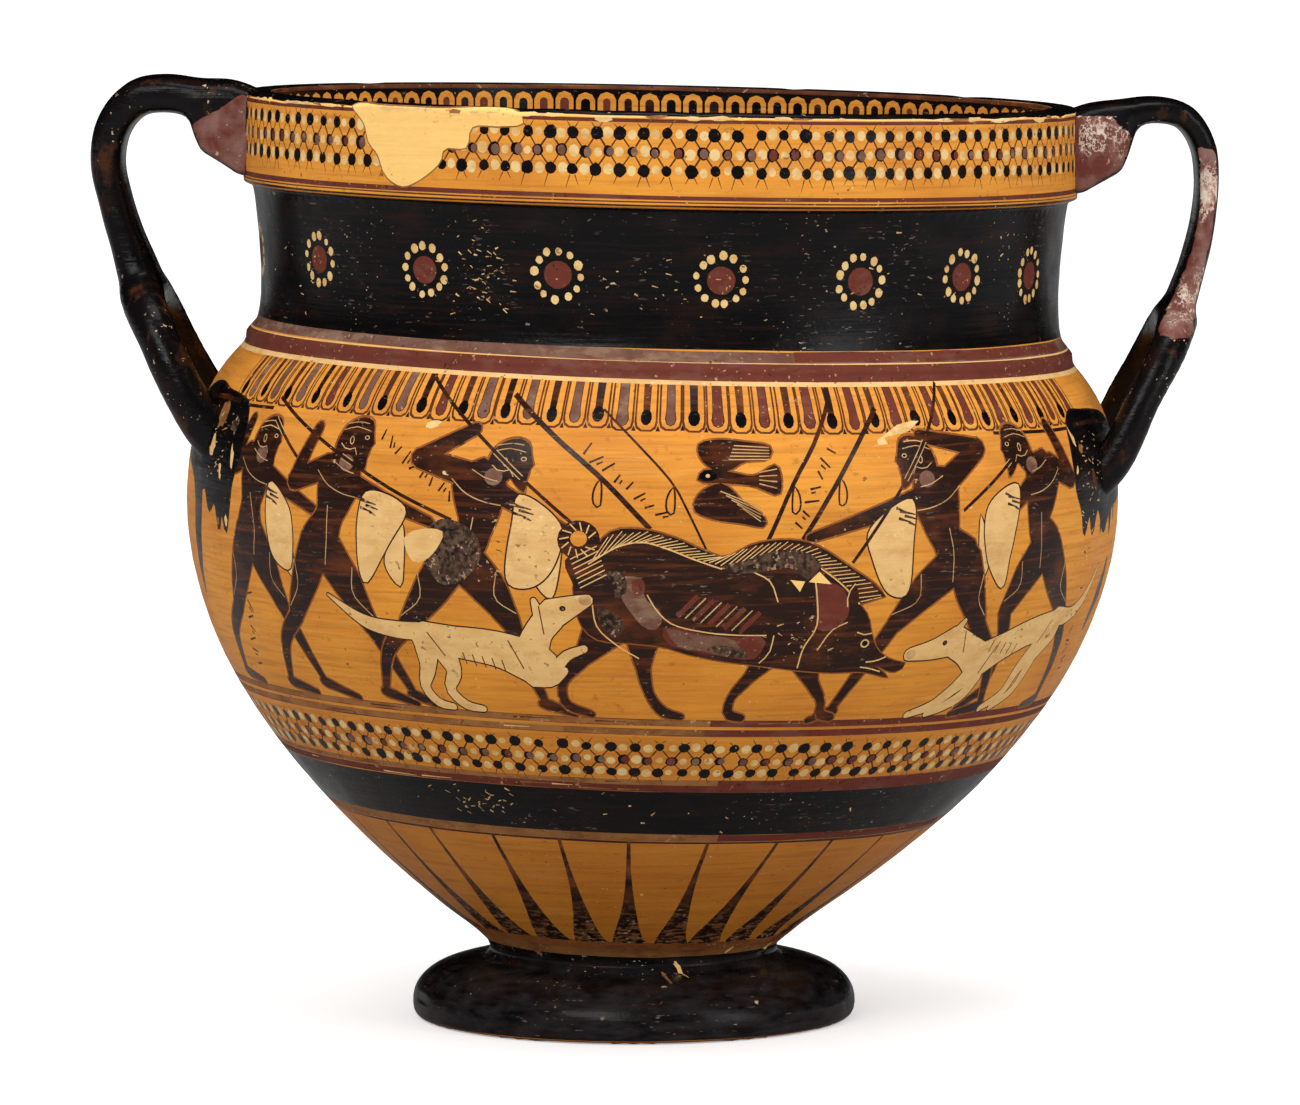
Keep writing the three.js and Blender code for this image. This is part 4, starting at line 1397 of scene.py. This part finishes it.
def loop_form(handle):
    """The bar that rises from the shoulder in two legs and closes under the strap."""
    side, root = handle["side"], handle["root"]
    half = [(LOOP_END, 0.93, root - LOOP_SUNK), (LOOP_ROOT, 1, root), *LOOP_UPPER]
    stations = [(side * x, -y * LOOP_SPREAD, z) for x, y, z in half]
    stations += [(x, -y, z) for x, y, z in stations[-2::-1]]
    path = np.array([catmull_rom(stations, t) for t in np.linspace(0, 1, 120)])

    def outline(share, angle):
        rise = 2 * min(share, 1 - share)
        radius = handle["bar"] + LOOP_FLARE * max(0, 1 - rise / 0.4) ** 2
        radius += LOOP_SWELL * max(0, (rise - 0.5) / 0.5)
        return radius * math.cos(angle), radius * math.sin(angle)

    return loft(path, np.array([side, 0, -0.5]), outline, 40)


def strap_form(handle):
    """The flat strap from the loop up to the rim."""
    stations = []
    for x, z, thick, broad in STRAP_STATIONS:
        bow = handle["bow"] * math.exp(-(((z - BOW_HEIGHT) / 20) ** 2)) if x > 205 else 0
        upper = smoothstep((z - DROOP_FROM[1]) / 50) * smoothstep((x - DROOP_FROM[0]) / 25)
        stations.append((x + bow, z - handle["droop"] * upper, thick, broad))
    stations = np.array(stations)
    count = 90
    shares = np.linspace(0, 1, count)
    line_points = np.array([catmull_rom(stations[:, :2], t) for t in shares])
    place = shares * (len(stations) - 1)
    thick = np.interp(place, np.arange(len(stations)), stations[:, 2]) * handle["strap"] / 2
    broad = np.interp(place, np.arange(len(stations)), stations[:, 3]) / 2
    path = np.stack([handle["side"] * line_points[:, 0], np.zeros(count), line_points[:, 1]], 1)

    def outline(share, angle):
        k = int(round(share * (count - 1)))
        c, s = math.cos(angle), math.sin(angle)
        flat = 2 / 4.5  # a rounded oblong
        return thick[k] * math.copysign(abs(c) ** flat, c), broad[k] * math.copysign(abs(s) ** flat, s)

    return loft(path, np.array([0, 1, 0]), outline, 56)


def smoothstep(t):
    """From nought to one with level ends."""
    t = min(max(t, 0), 1)
    return t * t * (3 - 2 * t)


def coping_form(handle):
    """The wedge of clay that carries the strap on to the rim."""
    half, flat, inset = COPING_HALF, COPING_HALF - COPING_INSET, COPING_INSET
    rings = []
    for y, back in ((-half, inset), (-flat, 0), (flat, 0), (half, inset)):
        rings.append([(handle["side"] * (x - (back if x > 167 else 0)), y, z) for x, z in COPING_OUTLINE])
    return np.array(rings, float).reshape(-1, 3), ring_faces(len(rings), len(COPING_OUTLINE))


def evaluated(thing):
    """The object's mesh with its modifiers run."""
    graph = bpy.context.evaluated_depsgraph_get()
    return bpy.data.meshes.new_from_object(thing.evaluated_get(graph), depsgraph=graph)


def handle_mesh(handle):
    """Loop, strap and wedge melted into one skin, in millimetres before the kiln moved them."""
    points, faces = [], []
    for form_points, form_faces in (loop_form(handle), strap_form(handle), coping_form(handle)):
        faces += [tuple(k + len(points) for k in face) for face in form_faces]
        points += form_points.tolist()
    mesh = bpy.data.meshes.new("raw handle")
    mesh.from_pydata(points, [], faces)
    mesh.update()
    thing = new_object("raw_handle", mesh)
    remesh = thing.modifiers.new("melt", "REMESH")
    remesh.mode = "VOXEL"
    remesh.voxel_size = HANDLE_VOXEL
    soften = thing.modifiers.new("soften", "SMOOTH")
    soften.factor = 0.5
    soften.iterations = 3
    skin = evaluated(thing)
    bpy.data.objects.remove(thing)
    return skin


def seat_in_wall(points):
    """Handle points deeper than the middle of the wall, brought out to its middle."""
    radius = np.hypot(points[:, 0], points[:, 1])
    outside = (OUTLINE_S > OUTSIDE[0]) & (OUTLINE_S < OUTSIDE[1])
    outer = np.interp(points[:, 2], np.maximum.accumulate(OUTLINE_Z[outside]), OUTLINE_R[outside])
    floor = outer - np.where(points[:, 2] > SEAT_CHANGE, SEAT_NECK, SEAT_BOWL)
    scale = np.maximum(radius, floor) / radius
    return points * np.stack([scale, scale, np.ones(len(points))], 1)


def knocked(points, normals, seed):
    """The hand's unevenness: the handle's surface pressed in by slow noise."""
    draw = random.Random(seed)
    waves = []
    for size in (4, 5, 7, 9, 14):
        way = np.array([draw.uniform(-1, 1) for _ in range(3)]) / size
        waves.append((way, draw.uniform(0, TURN)))
    depth = sum(np.sin(points @ way + phase) for way, phase in waves) / len(waves)
    return points + normals * (0.35 * depth - 0.35)[:, None]


def handle_paint(points, normals, handle):
    """How far into the purple-red each point of a handle lies, and how worn it is."""
    x, z = np.abs(points[:, 0]), points[:, 2]
    end_on = np.abs(normals[:, 1])
    flat = (end_on - 0.5) * 6
    if handle["side"] < 0:
        slope = (366 - (x - 166) * 0.62 - z) / 1.5
        red = np.minimum.reduce([flat, (191 - x) / 2, (z - 331) / 2, slope])
        return np.clip(red, -1, 1), np.zeros(len(x))
    wedge = np.minimum.reduce([flat, (195 - x) / 2, (z - 331) / 2, (365 - z) / 1.5, (543 - x - z) / 2])
    facing = (end_on - np.interp(z, [294, 312], [0.25, 0.55])) * 6
    edge = np.minimum.reduce([facing, (z - 280) / 3, (x - 196) / 3, (353 - z) / 2])
    chalk = 0.85 * np.exp(-(((z - 337) / 12) ** 2)) + 0.45 * np.exp(-(((z - 296) / 22) ** 2))
    chalk = chalk * (x > 200)
    wedge_worn = 0.5 * np.clip((z - 340) / 18, 0, 1) * (x < 196)
    worn = (chalk + wedge_worn) * (end_on > 0.3) * (np.maximum(wedge, edge) > -0.3)
    return np.clip(np.maximum(wedge, edge), -1, 1), worn


def handle_object(handle, seed, materials):
    """One handle's skin in its place on the pot, with its wear and its normals kept on it."""
    mesh = handle_mesh(handle)
    points = values(mesh.vertices, "co", 3, float)
    normals = values(mesh.vertex_normals, "vector", 3)
    red, worn = handle_paint(points, normals, handle)
    points = slumped(seat_in_wall(knocked(points, normals, seed))) * MM
    mesh.vertices.foreach_set("co", points.ravel())
    mesh.update()
    for name, amounts in (("red", red), ("worn", worn)):
        kept = mesh.attributes.new(name, "FLOAT", "POINT")
        kept.data.foreach_set("value", amounts.astype(np.float32))
    thing = new_object("melted_handle", mesh, materials)
    unwrap(thing, 0.0 if handle["side"] > 0 else 0.5)
    corners = values(mesh.loops, "vertex_index", 1, np.int32)[:, 0]
    keep_corner_normals(mesh, values(mesh.vertex_normals, "vector", 3)[corners])
    last = np.full(len(mesh.polygons), len(materials) - 1, np.int32)
    mesh.polygons.foreach_set("material_index", last)
    return thing


def unwrap(thing, start):
    """Lay the handle's skin flat in its own half of the strip above the wall's."""
    mesh = thing.data
    mesh.uv_layers.new(name="OFBake")
    bpy.context.view_layer.objects.active = thing
    thing.select_set(True)
    bpy.ops.object.mode_set(mode="EDIT")
    bpy.ops.mesh.select_all(action="SELECT")
    bpy.ops.uv.smart_project(angle_limit=math.radians(66), island_margin=0.004)
    bpy.ops.object.mode_set(mode="OBJECT")
    thing.select_set(False)
    layer = mesh.uv_layers["OFBake"]
    uv = values(layer.data, "uv", 2)
    low, high = uv.min(0), uv.max(0)
    uv = (uv - low) / (high - low)
    uv = np.stack([start + 0.003 + 0.494 * uv[:, 0], 0.93 + 0.068 * uv[:, 1]], 1)
    layer.data.foreach_set("uv", uv.astype(np.float32).ravel())


def joined_krater(wall, handles):
    """The wall and its handles as one closed skin."""
    for handle in handles:
        union = wall.modifiers.new("join", "BOOLEAN")
        union.operation = "UNION"
        union.solver = "MANIFOLD"
        union.object = handle
    mesh = evaluated(wall)
    mesh.name = "painted_krater"
    for thing in (wall, *handles):
        bpy.data.objects.remove(thing)
    return mesh


# ---- paints
def tone(red, green, blue):
    """A colour given as screen values, as light."""
    def light(v):
        v /= 255
        return v / 12.92 if v <= 0.04045 else ((v + 0.055) / 1.055) ** 2.4

    return (light(red), light(green), light(blue), 1)


class Paint:
    """A material built up from noise in the pot's own space."""

    def __init__(self, name, preview):
        self.material = bpy.data.materials.new(name)
        self.material.use_nodes = True
        self.material.diffuse_color = preview
        self.tree = self.material.node_tree
        self.links = self.tree.links
        self.surface = self.tree.nodes["Principled BSDF"]
        self.place = self.tree.nodes.new("ShaderNodeTexCoord").outputs["Object"]

    def feed(self, value, socket):
        """Link another node's output to a socket, or set it to a number or colour."""
        if isinstance(value, bpy.types.NodeSocket):
            self.links.new(value, socket)
        else:
            socket.default_value = value

    def node(self, kind, sockets, **settings):
        made = self.tree.nodes.new(kind)
        for key, value in settings.items():
            setattr(made, key, value)
        for key, value in sockets.items():
            self.feed(value, made.inputs[key])
        return made

    def spot(self, stretch, shift):
        """The pot's space stretched, so that noise in it comes out in millimetre sizes."""
        scaled = self.node("ShaderNodeVectorMath", {0: self.place, 1: stretch}, operation="MULTIPLY")
        away = (shift, shift * 1.7, shift * 0.6)
        return self.node("ShaderNodeVectorMath", {0: scaled.outputs[0], 1: away}).outputs[0]

    def noise(self, size, shift=0.0, detail=3.0, flat=1.0, rough=0.55):
        """Noise of a size in millimetres, squeezed vertically by flat."""
        k = 1 / (size * MM)
        spot = self.spot((k, k, k * flat), shift)
        sockets = {"Vector": spot, "Scale": 1.0, "Detail": detail, "Roughness": rough}
        return self.node("ShaderNodeTexNoise", sockets).outputs["Fac"]

    def ramp(self, value, low, high, start=0.0, end=1.0):
        """A value that runs from start to end while another runs from low to high."""
        sockets = {"Value": value, "From Min": low, "From Max": high, "To Min": start, "To Max": end}
        return self.node("ShaderNodeMapRange", sockets).outputs["Result"]

    def maths(self, operation, a, b=0.0):
        return self.node("ShaderNodeMath", {0: a, 1: b}, operation=operation).outputs[0]

    def mix(self, share, a, b):
        """Two colours mixed. Sockets 6, 7 and 2 are the node's colour ones."""
        made = self.node("ShaderNodeMix", {"Factor": share}, data_type="RGBA")
        self.feed(a, made.inputs[6])
        self.feed(b, made.inputs[7])
        return made.outputs[2]

    def lay(self, colour, place, share, over):
        """Another colour, in screen values, laid over part of the one before."""
        return self.mix(self.maths("MULTIPLY", place, share), colour, tone(*over))

    def cloud(self, colour, noise, low, high, share, over):
        """Another colour where a noise rises from low to high."""
        return self.lay(colour, self.ramp(self.noise(*noise), low, high), share, over)

    def specks(self, colour, flecks, share, over):
        """Another colour in small flecks."""
        return self.lay(colour, self.flecks(*flecks), share, over)

    def below(self, low, high):
        """One beneath a height, falling to nought at another."""
        return self.maths("SUBTRACT", 1.0, self.height(low, high))

    def flecks(self, size, shift, bar, spread, share, flat=1.0):
        """Small ragged flecks, where fine noise passes a bar, gathered where slow noise is high."""
        fine = self.ramp(self.noise(size, shift, 2.0, flat, 0.5), bar, bar + 0.04)
        slow = self.ramp(self.noise(spread, shift + 0.5, 3.0), share, share + 0.12)
        return self.maths("MULTIPLY", fine, slow)

    def height(self, low, high):
        """How far up the pot a place is, in millimetres, from nought to one."""
        z = self.node("ShaderNodeSeparateXYZ", {0: self.place}).outputs["Z"]
        return self.ramp(z, low * MM, high * MM)

    def finish(self, colour, rough, relief, depth, shine):
        """The surface's colour, roughness, shine and its relief, whose depth is in millimetres."""
        self.links.new(colour, self.surface.inputs["Base Color"])
        self.feed(rough, self.surface.inputs["Roughness"])
        self.surface.inputs["Specular IOR Level"].default_value = shine
        bump = self.node("ShaderNodeBump", {"Strength": 1.0, "Distance": depth * MM, "Height": relief})
        self.links.new(bump.outputs["Normal"], self.surface.inputs["Normal"])
        return self.material


def ground_relief(paint):
    """The thrown surface: fine grain and wheel lines together."""
    grain = paint.noise(1.6, 3.0, 4.0)
    wheel = paint.noise(60, 5.0, 6.0, 28.0)
    return paint.maths("ADD", paint.maths("MULTIPLY", grain, 0.3), paint.maths("MULTIPLY", wheel, 0.7))


def clay_paint(name, light=(233, 154, 52), dark=(202, 120, 38)):
    """Bare orange clay, polished, with wheel lines, grime and pits, and painted shade that darkens it towards
    the bottom of the bowl.
    """
    paint = Paint(name, tone(*light))
    colour = paint.cloud(tone(*light), (55, 1.0, 5.0, 1.6), 0.4, 0.66, 0.6, dark)
    colour = paint.cloud(colour, (42, 2.0, 7.0, 26.0, 0.6), 0.47, 0.66, 0.34, (150, 84, 30))
    colour = paint.cloud(colour, (33, 6.0, 6.0, 18.0, 0.6), 0.56, 0.74, 0.4, (236, 178, 100))
    # painted shade: the clay is darker towards the bottom, fully below 98 mm and fading out by 172 mm
    colour = paint.lay(colour, paint.below(98, 172), 0.44, (172, 94, 30))
    colour = paint.cloud(colour, (5, 7.0, 6.0, 1.3, 0.62), 0.6, 0.72, 0.4, (132, 70, 24))
    colour = paint.specks(colour, (2.3, 8.0, 0.7, 46, 0.45), 0.75, (92, 48, 22))
    colour = paint.specks(colour, (2.0, 11.0, 0.71, 38, 0.5), 0.7, (244, 214, 160))
    rough = paint.ramp(paint.noise(20, 4.0), 0.3, 0.7, 0.4, 0.58)
    return paint.finish(colour, rough, ground_relief(paint), 0.35, 0.2)


def gloss_paint(name, base=(12, 10, 11), thin=(66, 32, 16), share=0.22, flaked=0.5):
    """Black gloss: brown where it is thin, grey on the foot as dust and a painted sheen, scuffed and flecked
    where it has flaked.
    """
    paint = Paint(name, tone(*base))
    colour = paint.cloud(tone(*base), (24, 21.0, 5.0, 2.2), 0.52, 0.74, share, thin)
    colour = paint.cloud(colour, (30, 22.0, 6.0, 16.0), 0.52, 0.72, share, thin)
    colour = paint.cloud(colour, (40, 29.0, 5.0, 2.0), 0.55, 0.72, 0.2, (42, 38, 40))
    # dust and painted sheen: a grey laid over the gloss on the foot, below 22 mm and fading out by 34 mm
    foot_dust_and_sheen = paint.maths("MULTIPLY", paint.ramp(paint.noise(10, 30.0, 7.0, 3.0), 0.36, 0.7), 0.6)
    colour = paint.lay(colour, foot_dust_and_sheen, paint.below(22, 34), (50, 47, 49))
    colour = paint.specks(colour, (5.0, 23.0, 0.66, 40, flaked, 5.0), 0.6, (128, 112, 98))
    colour = paint.specks(colour, (1.9, 25.0, 0.69, 30, flaked, 1.4), 0.9, (200, 170, 132))
    large = paint.flecks(4.2, 26.0, 0.73, 60, flaked + 0.02, 1.6)
    colour = paint.mix(large, colour, tone(226, 196, 146))
    rough = paint.ramp(paint.noise(16, 28.0, 4.0), 0.3, 0.7, 0.2, 0.36)
    return paint.finish(colour, rough, ground_relief(paint), 0.25, 0.17)


def matt_paint(name, base, second, share, worn, worn_share,
               fleck=(200, 160, 112), rough=0.62, dark=(46, 24, 16)):
    """A matt colour laid over the gloss, worn and stained."""
    paint = Paint(name, tone(*base))
    colour = paint.cloud(tone(*base), (9, 31.0, 6.0, 1.6), 0.42, 0.66, share, second)
    colour = paint.cloud(colour, (15, 32.0, 7.0, 2.6, 0.62), 0.53, 0.62, worn_share, worn)
    colour = paint.specks(colour, (2.0, 33.0, 0.66, 25, 0.44), 0.7, fleck)
    colour = paint.specks(colour, (2.2, 34.0, 0.65, 28, 0.46), 0.75, dark)
    return paint.finish(colour, rough, ground_relief(paint), 0.3, 0.18)


def worn_paint():
    """Where the gloss has been rubbed away to a speckled grey-brown."""
    paint = Paint("rubbed_gloss", tone(92, 64, 50))
    fine = paint.ramp(paint.noise(2.2, 61.0, 5.0), 0.42, 0.6)
    colour = paint.mix(fine, tone(36, 22, 16), tone(102, 76, 58))
    colour = paint.cloud(colour, (8, 62.0, 5.0), 0.45, 0.6, 0.6, (78, 52, 38))
    colour = paint.specks(colour, (1.8, 63.0, 0.6, 20, 0.4), 0.8, (184, 150, 114))
    return paint.finish(colour, 0.6, ground_relief(paint), 0.4, 0.2)


def ray_paint():
    """The rays: thin brown above, black below, and flaking to tan over the foot."""
    paint = Paint("ray_gloss", tone(52, 26, 14))
    broken = paint.ramp(paint.noise(12, 71.0, 5.0, 1.2), 0.4, 0.6)
    colour = paint.lay(tone(40, 21, 14), paint.height(50, 76), broken, (140, 76, 30))
    lower = paint.below(36, 62)
    colour = paint.cloud(colour, (4.5, 72.0, 6.0, 4.0, 0.62), 0.5, 0.56, lower, (150, 100, 62))
    colour = paint.specks(colour, (1.8, 73.0, 0.62, 20, 0.42, 2.0), lower, (210, 170, 124))
    return paint.finish(colour, 0.45, ground_relief(paint), 0.35, 0.25)


def handle_gloss():
    """The handles' gloss, with purple-red on the faces that look forwards, and where it has gone."""
    paint = Paint("handle_gloss", tone(17, 13, 14))
    red_place = paint.node("ShaderNodeAttribute", {}, attribute_name="red").outputs["Fac"]
    worn_place = paint.node("ShaderNodeAttribute", {}, attribute_name="worn").outputs["Fac"]
    ragged = paint.ramp(paint.noise(5, 41.0, 4.0), 0.3, 0.7, -0.35, 0.25)
    red = paint.ramp(paint.maths("ADD", red_place, ragged), 0.0, 0.12)
    mottle = paint.ramp(paint.noise(10, 42.0, 6.0), 0.38, 0.62)
    purple = paint.mix(mottle, tone(108, 54, 44), tone(140, 102, 92))
    black = paint.cloud(tone(15, 12, 13), (16, 43.0, 5.0), 0.55, 0.7, 0.25, (66, 32, 16))
    colour = paint.mix(red, black, purple)
    patchy = paint.ramp(paint.noise(3.2, 44.0, 7.0, 0.6, 0.7), 0.3, 0.7, -1.0, 0.05)
    bare = paint.ramp(paint.maths("ADD", worn_place, patchy), 0.1, 0.2)
    chalky = paint.ramp(paint.noise(3, 45.0), 0.4, 0.6)
    chalk = paint.mix(chalky, tone(228, 210, 196), tone(176, 132, 110))
    colour = paint.mix(paint.maths("MULTIPLY", bare, 0.92), colour, chalk)
    # Thin pale lines lie where a noise crosses its middle, and only where the handle is worn.
    crossing = paint.maths("SUBTRACT", paint.noise(6.5, 49.0, 6.0, 0.8, 0.66), 0.5)
    crackle = paint.ramp(paint.maths("ABSOLUTE", crossing), 0.008, 0.022, 1.0, 0.0)
    scratched = paint.ramp(paint.maths("ADD", worn_place, paint.noise(12, 50.0, 4.0)), 0.8, 1.0)
    colour = paint.lay(colour, crackle, scratched, (226, 208, 190))
    share = paint.ramp(red, 0.0, 1.0, 0.5, 0.15)
    colour = paint.cloud(colour, (13, 46.0, 7.0, 0.6, 0.66), 0.57, 0.66, share, (92, 50, 26))
    colour = paint.specks(colour, (2.0, 48.0, 0.68, 30, 0.47), 0.9, (204, 172, 134))
    matt = paint.maths("MULTIPLY", paint.maths("MAXIMUM", red, bare), 0.3)
    rough = paint.maths("ADD", paint.ramp(paint.noise(12, 47.0), 0.3, 0.7, 0.18, 0.34), matt)
    return paint.finish(colour, rough, ground_relief(paint), 0.4, 0.18)


MATT_PAINTS = {  # name, colour, second colour and its share, worn colour and its share, flecks and so on
    BROWN: ("dilute_brown", (98, 48, 18), (64, 30, 12), 0.7, (156, 92, 38), 0.3),
    HALO: ("brown_halo", (138, 76, 28), (164, 96, 38), 0.7, (188, 116, 48), 0.3),
    RED: ("purple_red", (112, 50, 36), (98, 44, 30), 0.7, (122, 78, 64), 0.45),
    CREAM: ("cream_white", (236, 191, 124), (216, 164, 98), 0.6, (190, 138, 80), 0.3,
            (240, 214, 160), 0.6, (120, 76, 44)),
    FILL: ("plaster_fill", (255, 206, 122), (250, 194, 106), 0.4, (240, 182, 98), 0.15,
           (255, 222, 150), 0.7, (200, 140, 74)),
    TAN: ("worn_tan", (160, 108, 60), (134, 80, 38), 0.7, (98, 58, 34), 0.5, (206, 160, 108)),
    BARE: ("rough_clay", (158, 94, 44), (136, 72, 30), 0.7, (100, 58, 30), 0.5, (206, 158, 108), 0.8),
    SCRATCH: ("scratched_line", (214, 170, 116), (176, 124, 72), 0.6, (120, 76, 44), 0.4),
    DOT: ("faded_cream", (234, 200, 136), (214, 164, 92), 0.8, (196, 140, 72), 0.5,
          (242, 216, 160), 0.6, (110, 66, 34)),
    LILAC: ("worn_purple", (122, 86, 70), (104, 62, 46), 0.8, (150, 120, 94), 0.6, (184, 152, 120)),
}


def all_paints():
    """The paints in the order of their numbers, and the handles' last."""
    made = {
        CLAY: clay_paint("bare_clay"),
        BLACK: gloss_paint("black_gloss"),
        FIGURE: gloss_paint("figure_gloss", (42, 23, 16), (120, 58, 26), 0.6, 0.47),
        WORN: worn_paint(),
        RAY: ray_paint(),
    }
    made.update({number: matt_paint(*recipe) for number, recipe in MATT_PAINTS.items()})
    return [made[number] for number in sorted(made)] + [handle_gloss()]


# ---- the room
LAMPS = [  # name, place, the height it looks at, size, power
    ("key", (-1.0, -2.4, 1.9), 0.2, (1.3, 1.1), 27),
    ("fill", (2.0, -1.5, 1.0), 0.2, (0.8, 1.4), 12),
    ("top", (0.2, -0.3, 2.4), 0.3, (1.4, 1.0), 14),
]
LENS, SENSOR = 228.0, 36  # the lens is long, so the pot is seen almost without perspective
CAMERA_AT, CAMERA_DOWN = (-0.0019, -3.28, 0.476), 5.055  # metres, and degrees below level
FLOOR_HALF = 40.0
FLOOR_LIGHT, FLOOR_SEEN, FLOOR_GLOW = 0.34, 0.96, 0.3  # its shade for the pot, for the camera, its glow
SKY = 0.95


def soft_light(name, place, looks_at, size, power):
    """A square lamp turned to a height on the pot's axis."""
    lamp = bpy.data.lights.new(name, "AREA")
    lamp.shape = "RECTANGLE"
    lamp.size, lamp.size_y = size
    lamp.energy = power
    thing = new_object(name, lamp)
    thing.location = place
    way = Vector((0, 0, looks_at)) - Vector(place)
    thing.rotation_euler = way.to_track_quat("-Z", "Y").to_euler()


def floor_paint():
    """A white floor that throws little light back up at the pot."""
    paint = Paint("white_floor", (0.8, 0.8, 0.8, 1))
    sockets = paint.surface.inputs
    seen = paint.node("ShaderNodeLightPath", {}).outputs["Is Camera Ray"]
    paint.feed(paint.ramp(seen, 0.0, 1.0, FLOOR_LIGHT, FLOOR_SEEN), sockets["Base Color"])
    paint.feed(paint.maths("MULTIPLY", seen, FLOOR_GLOW), sockets["Emission Strength"])
    sockets["Emission Color"].default_value = (1, 1, 1, 1)
    sockets["Roughness"].default_value = 0.9
    sockets["Specular IOR Level"].default_value = 0.0
    return paint.material


def set_the_room():
    """A white floor that runs to the horizon, soft light from above and the sides, and the camera."""
    scene = bpy.context.scene
    scene.view_settings.view_transform = "Standard"
    world = bpy.data.worlds.new("studio")
    scene.world = world
    world.use_nodes = True
    world.cycles_visibility.glossy = False
    world.node_tree.nodes["Background"].inputs["Color"].default_value = (1, 1, 1, 1)
    world.node_tree.nodes["Background"].inputs["Strength"].default_value = SKY
    for lamp in LAMPS:
        soft_light(*lamp)
    lens = bpy.data.cameras.new("camera")
    lens.lens, lens.sensor_width = LENS, SENSOR
    lens.clip_end = 200
    camera = new_object("camera", lens)
    camera.location = CAMERA_AT
    camera.rotation_euler = (math.radians(90 - CAMERA_DOWN), 0, 0)
    scene.camera = camera
    corners = [(x * FLOOR_HALF, y * FLOOR_HALF, 0) for x, y in ((-1, -1), (1, -1), (1, 1), (-1, 1))]
    new_object("floor", new_mesh("floor", corners, [(0, 1, 2, 3)]), [floor_paint()])


def paint_everything():
    """The whole painting, from the ground up: what comes later covers what comes before."""
    painting = Painting()
    paint_bands(painting)
    paint_turns(painting)
    paint_rays(painting)
    paint_net(painting, LOWER_NET["rows"], LOWER_NET["pairs"], 4.6, 31)
    paint_net(painting, RIM_NET["rows"], RIM_NET["pairs"], 4.75, 17)
    paint_tongues(painting)
    paint_rosettes(painting)
    paint_arches(painting)
    paint_frieze(painting)
    paint_damage(painting)
    return painting


def build():
    """The painted pot as one piece, in the place of the solid."""
    paints = all_paints()
    wall = new_object("wall", body_mesh(paint_everything()), paints)
    handles = [handle_object(handle, seed, paints) for seed, handle in enumerate(HANDLES, 3)]
    mesh = joined_krater(wall, handles)
    use_corner_normals(mesh)
    piece = new_object("painted_krater", mesh)
    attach(piece, "root")
    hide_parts("krater")


build()
set_the_room()

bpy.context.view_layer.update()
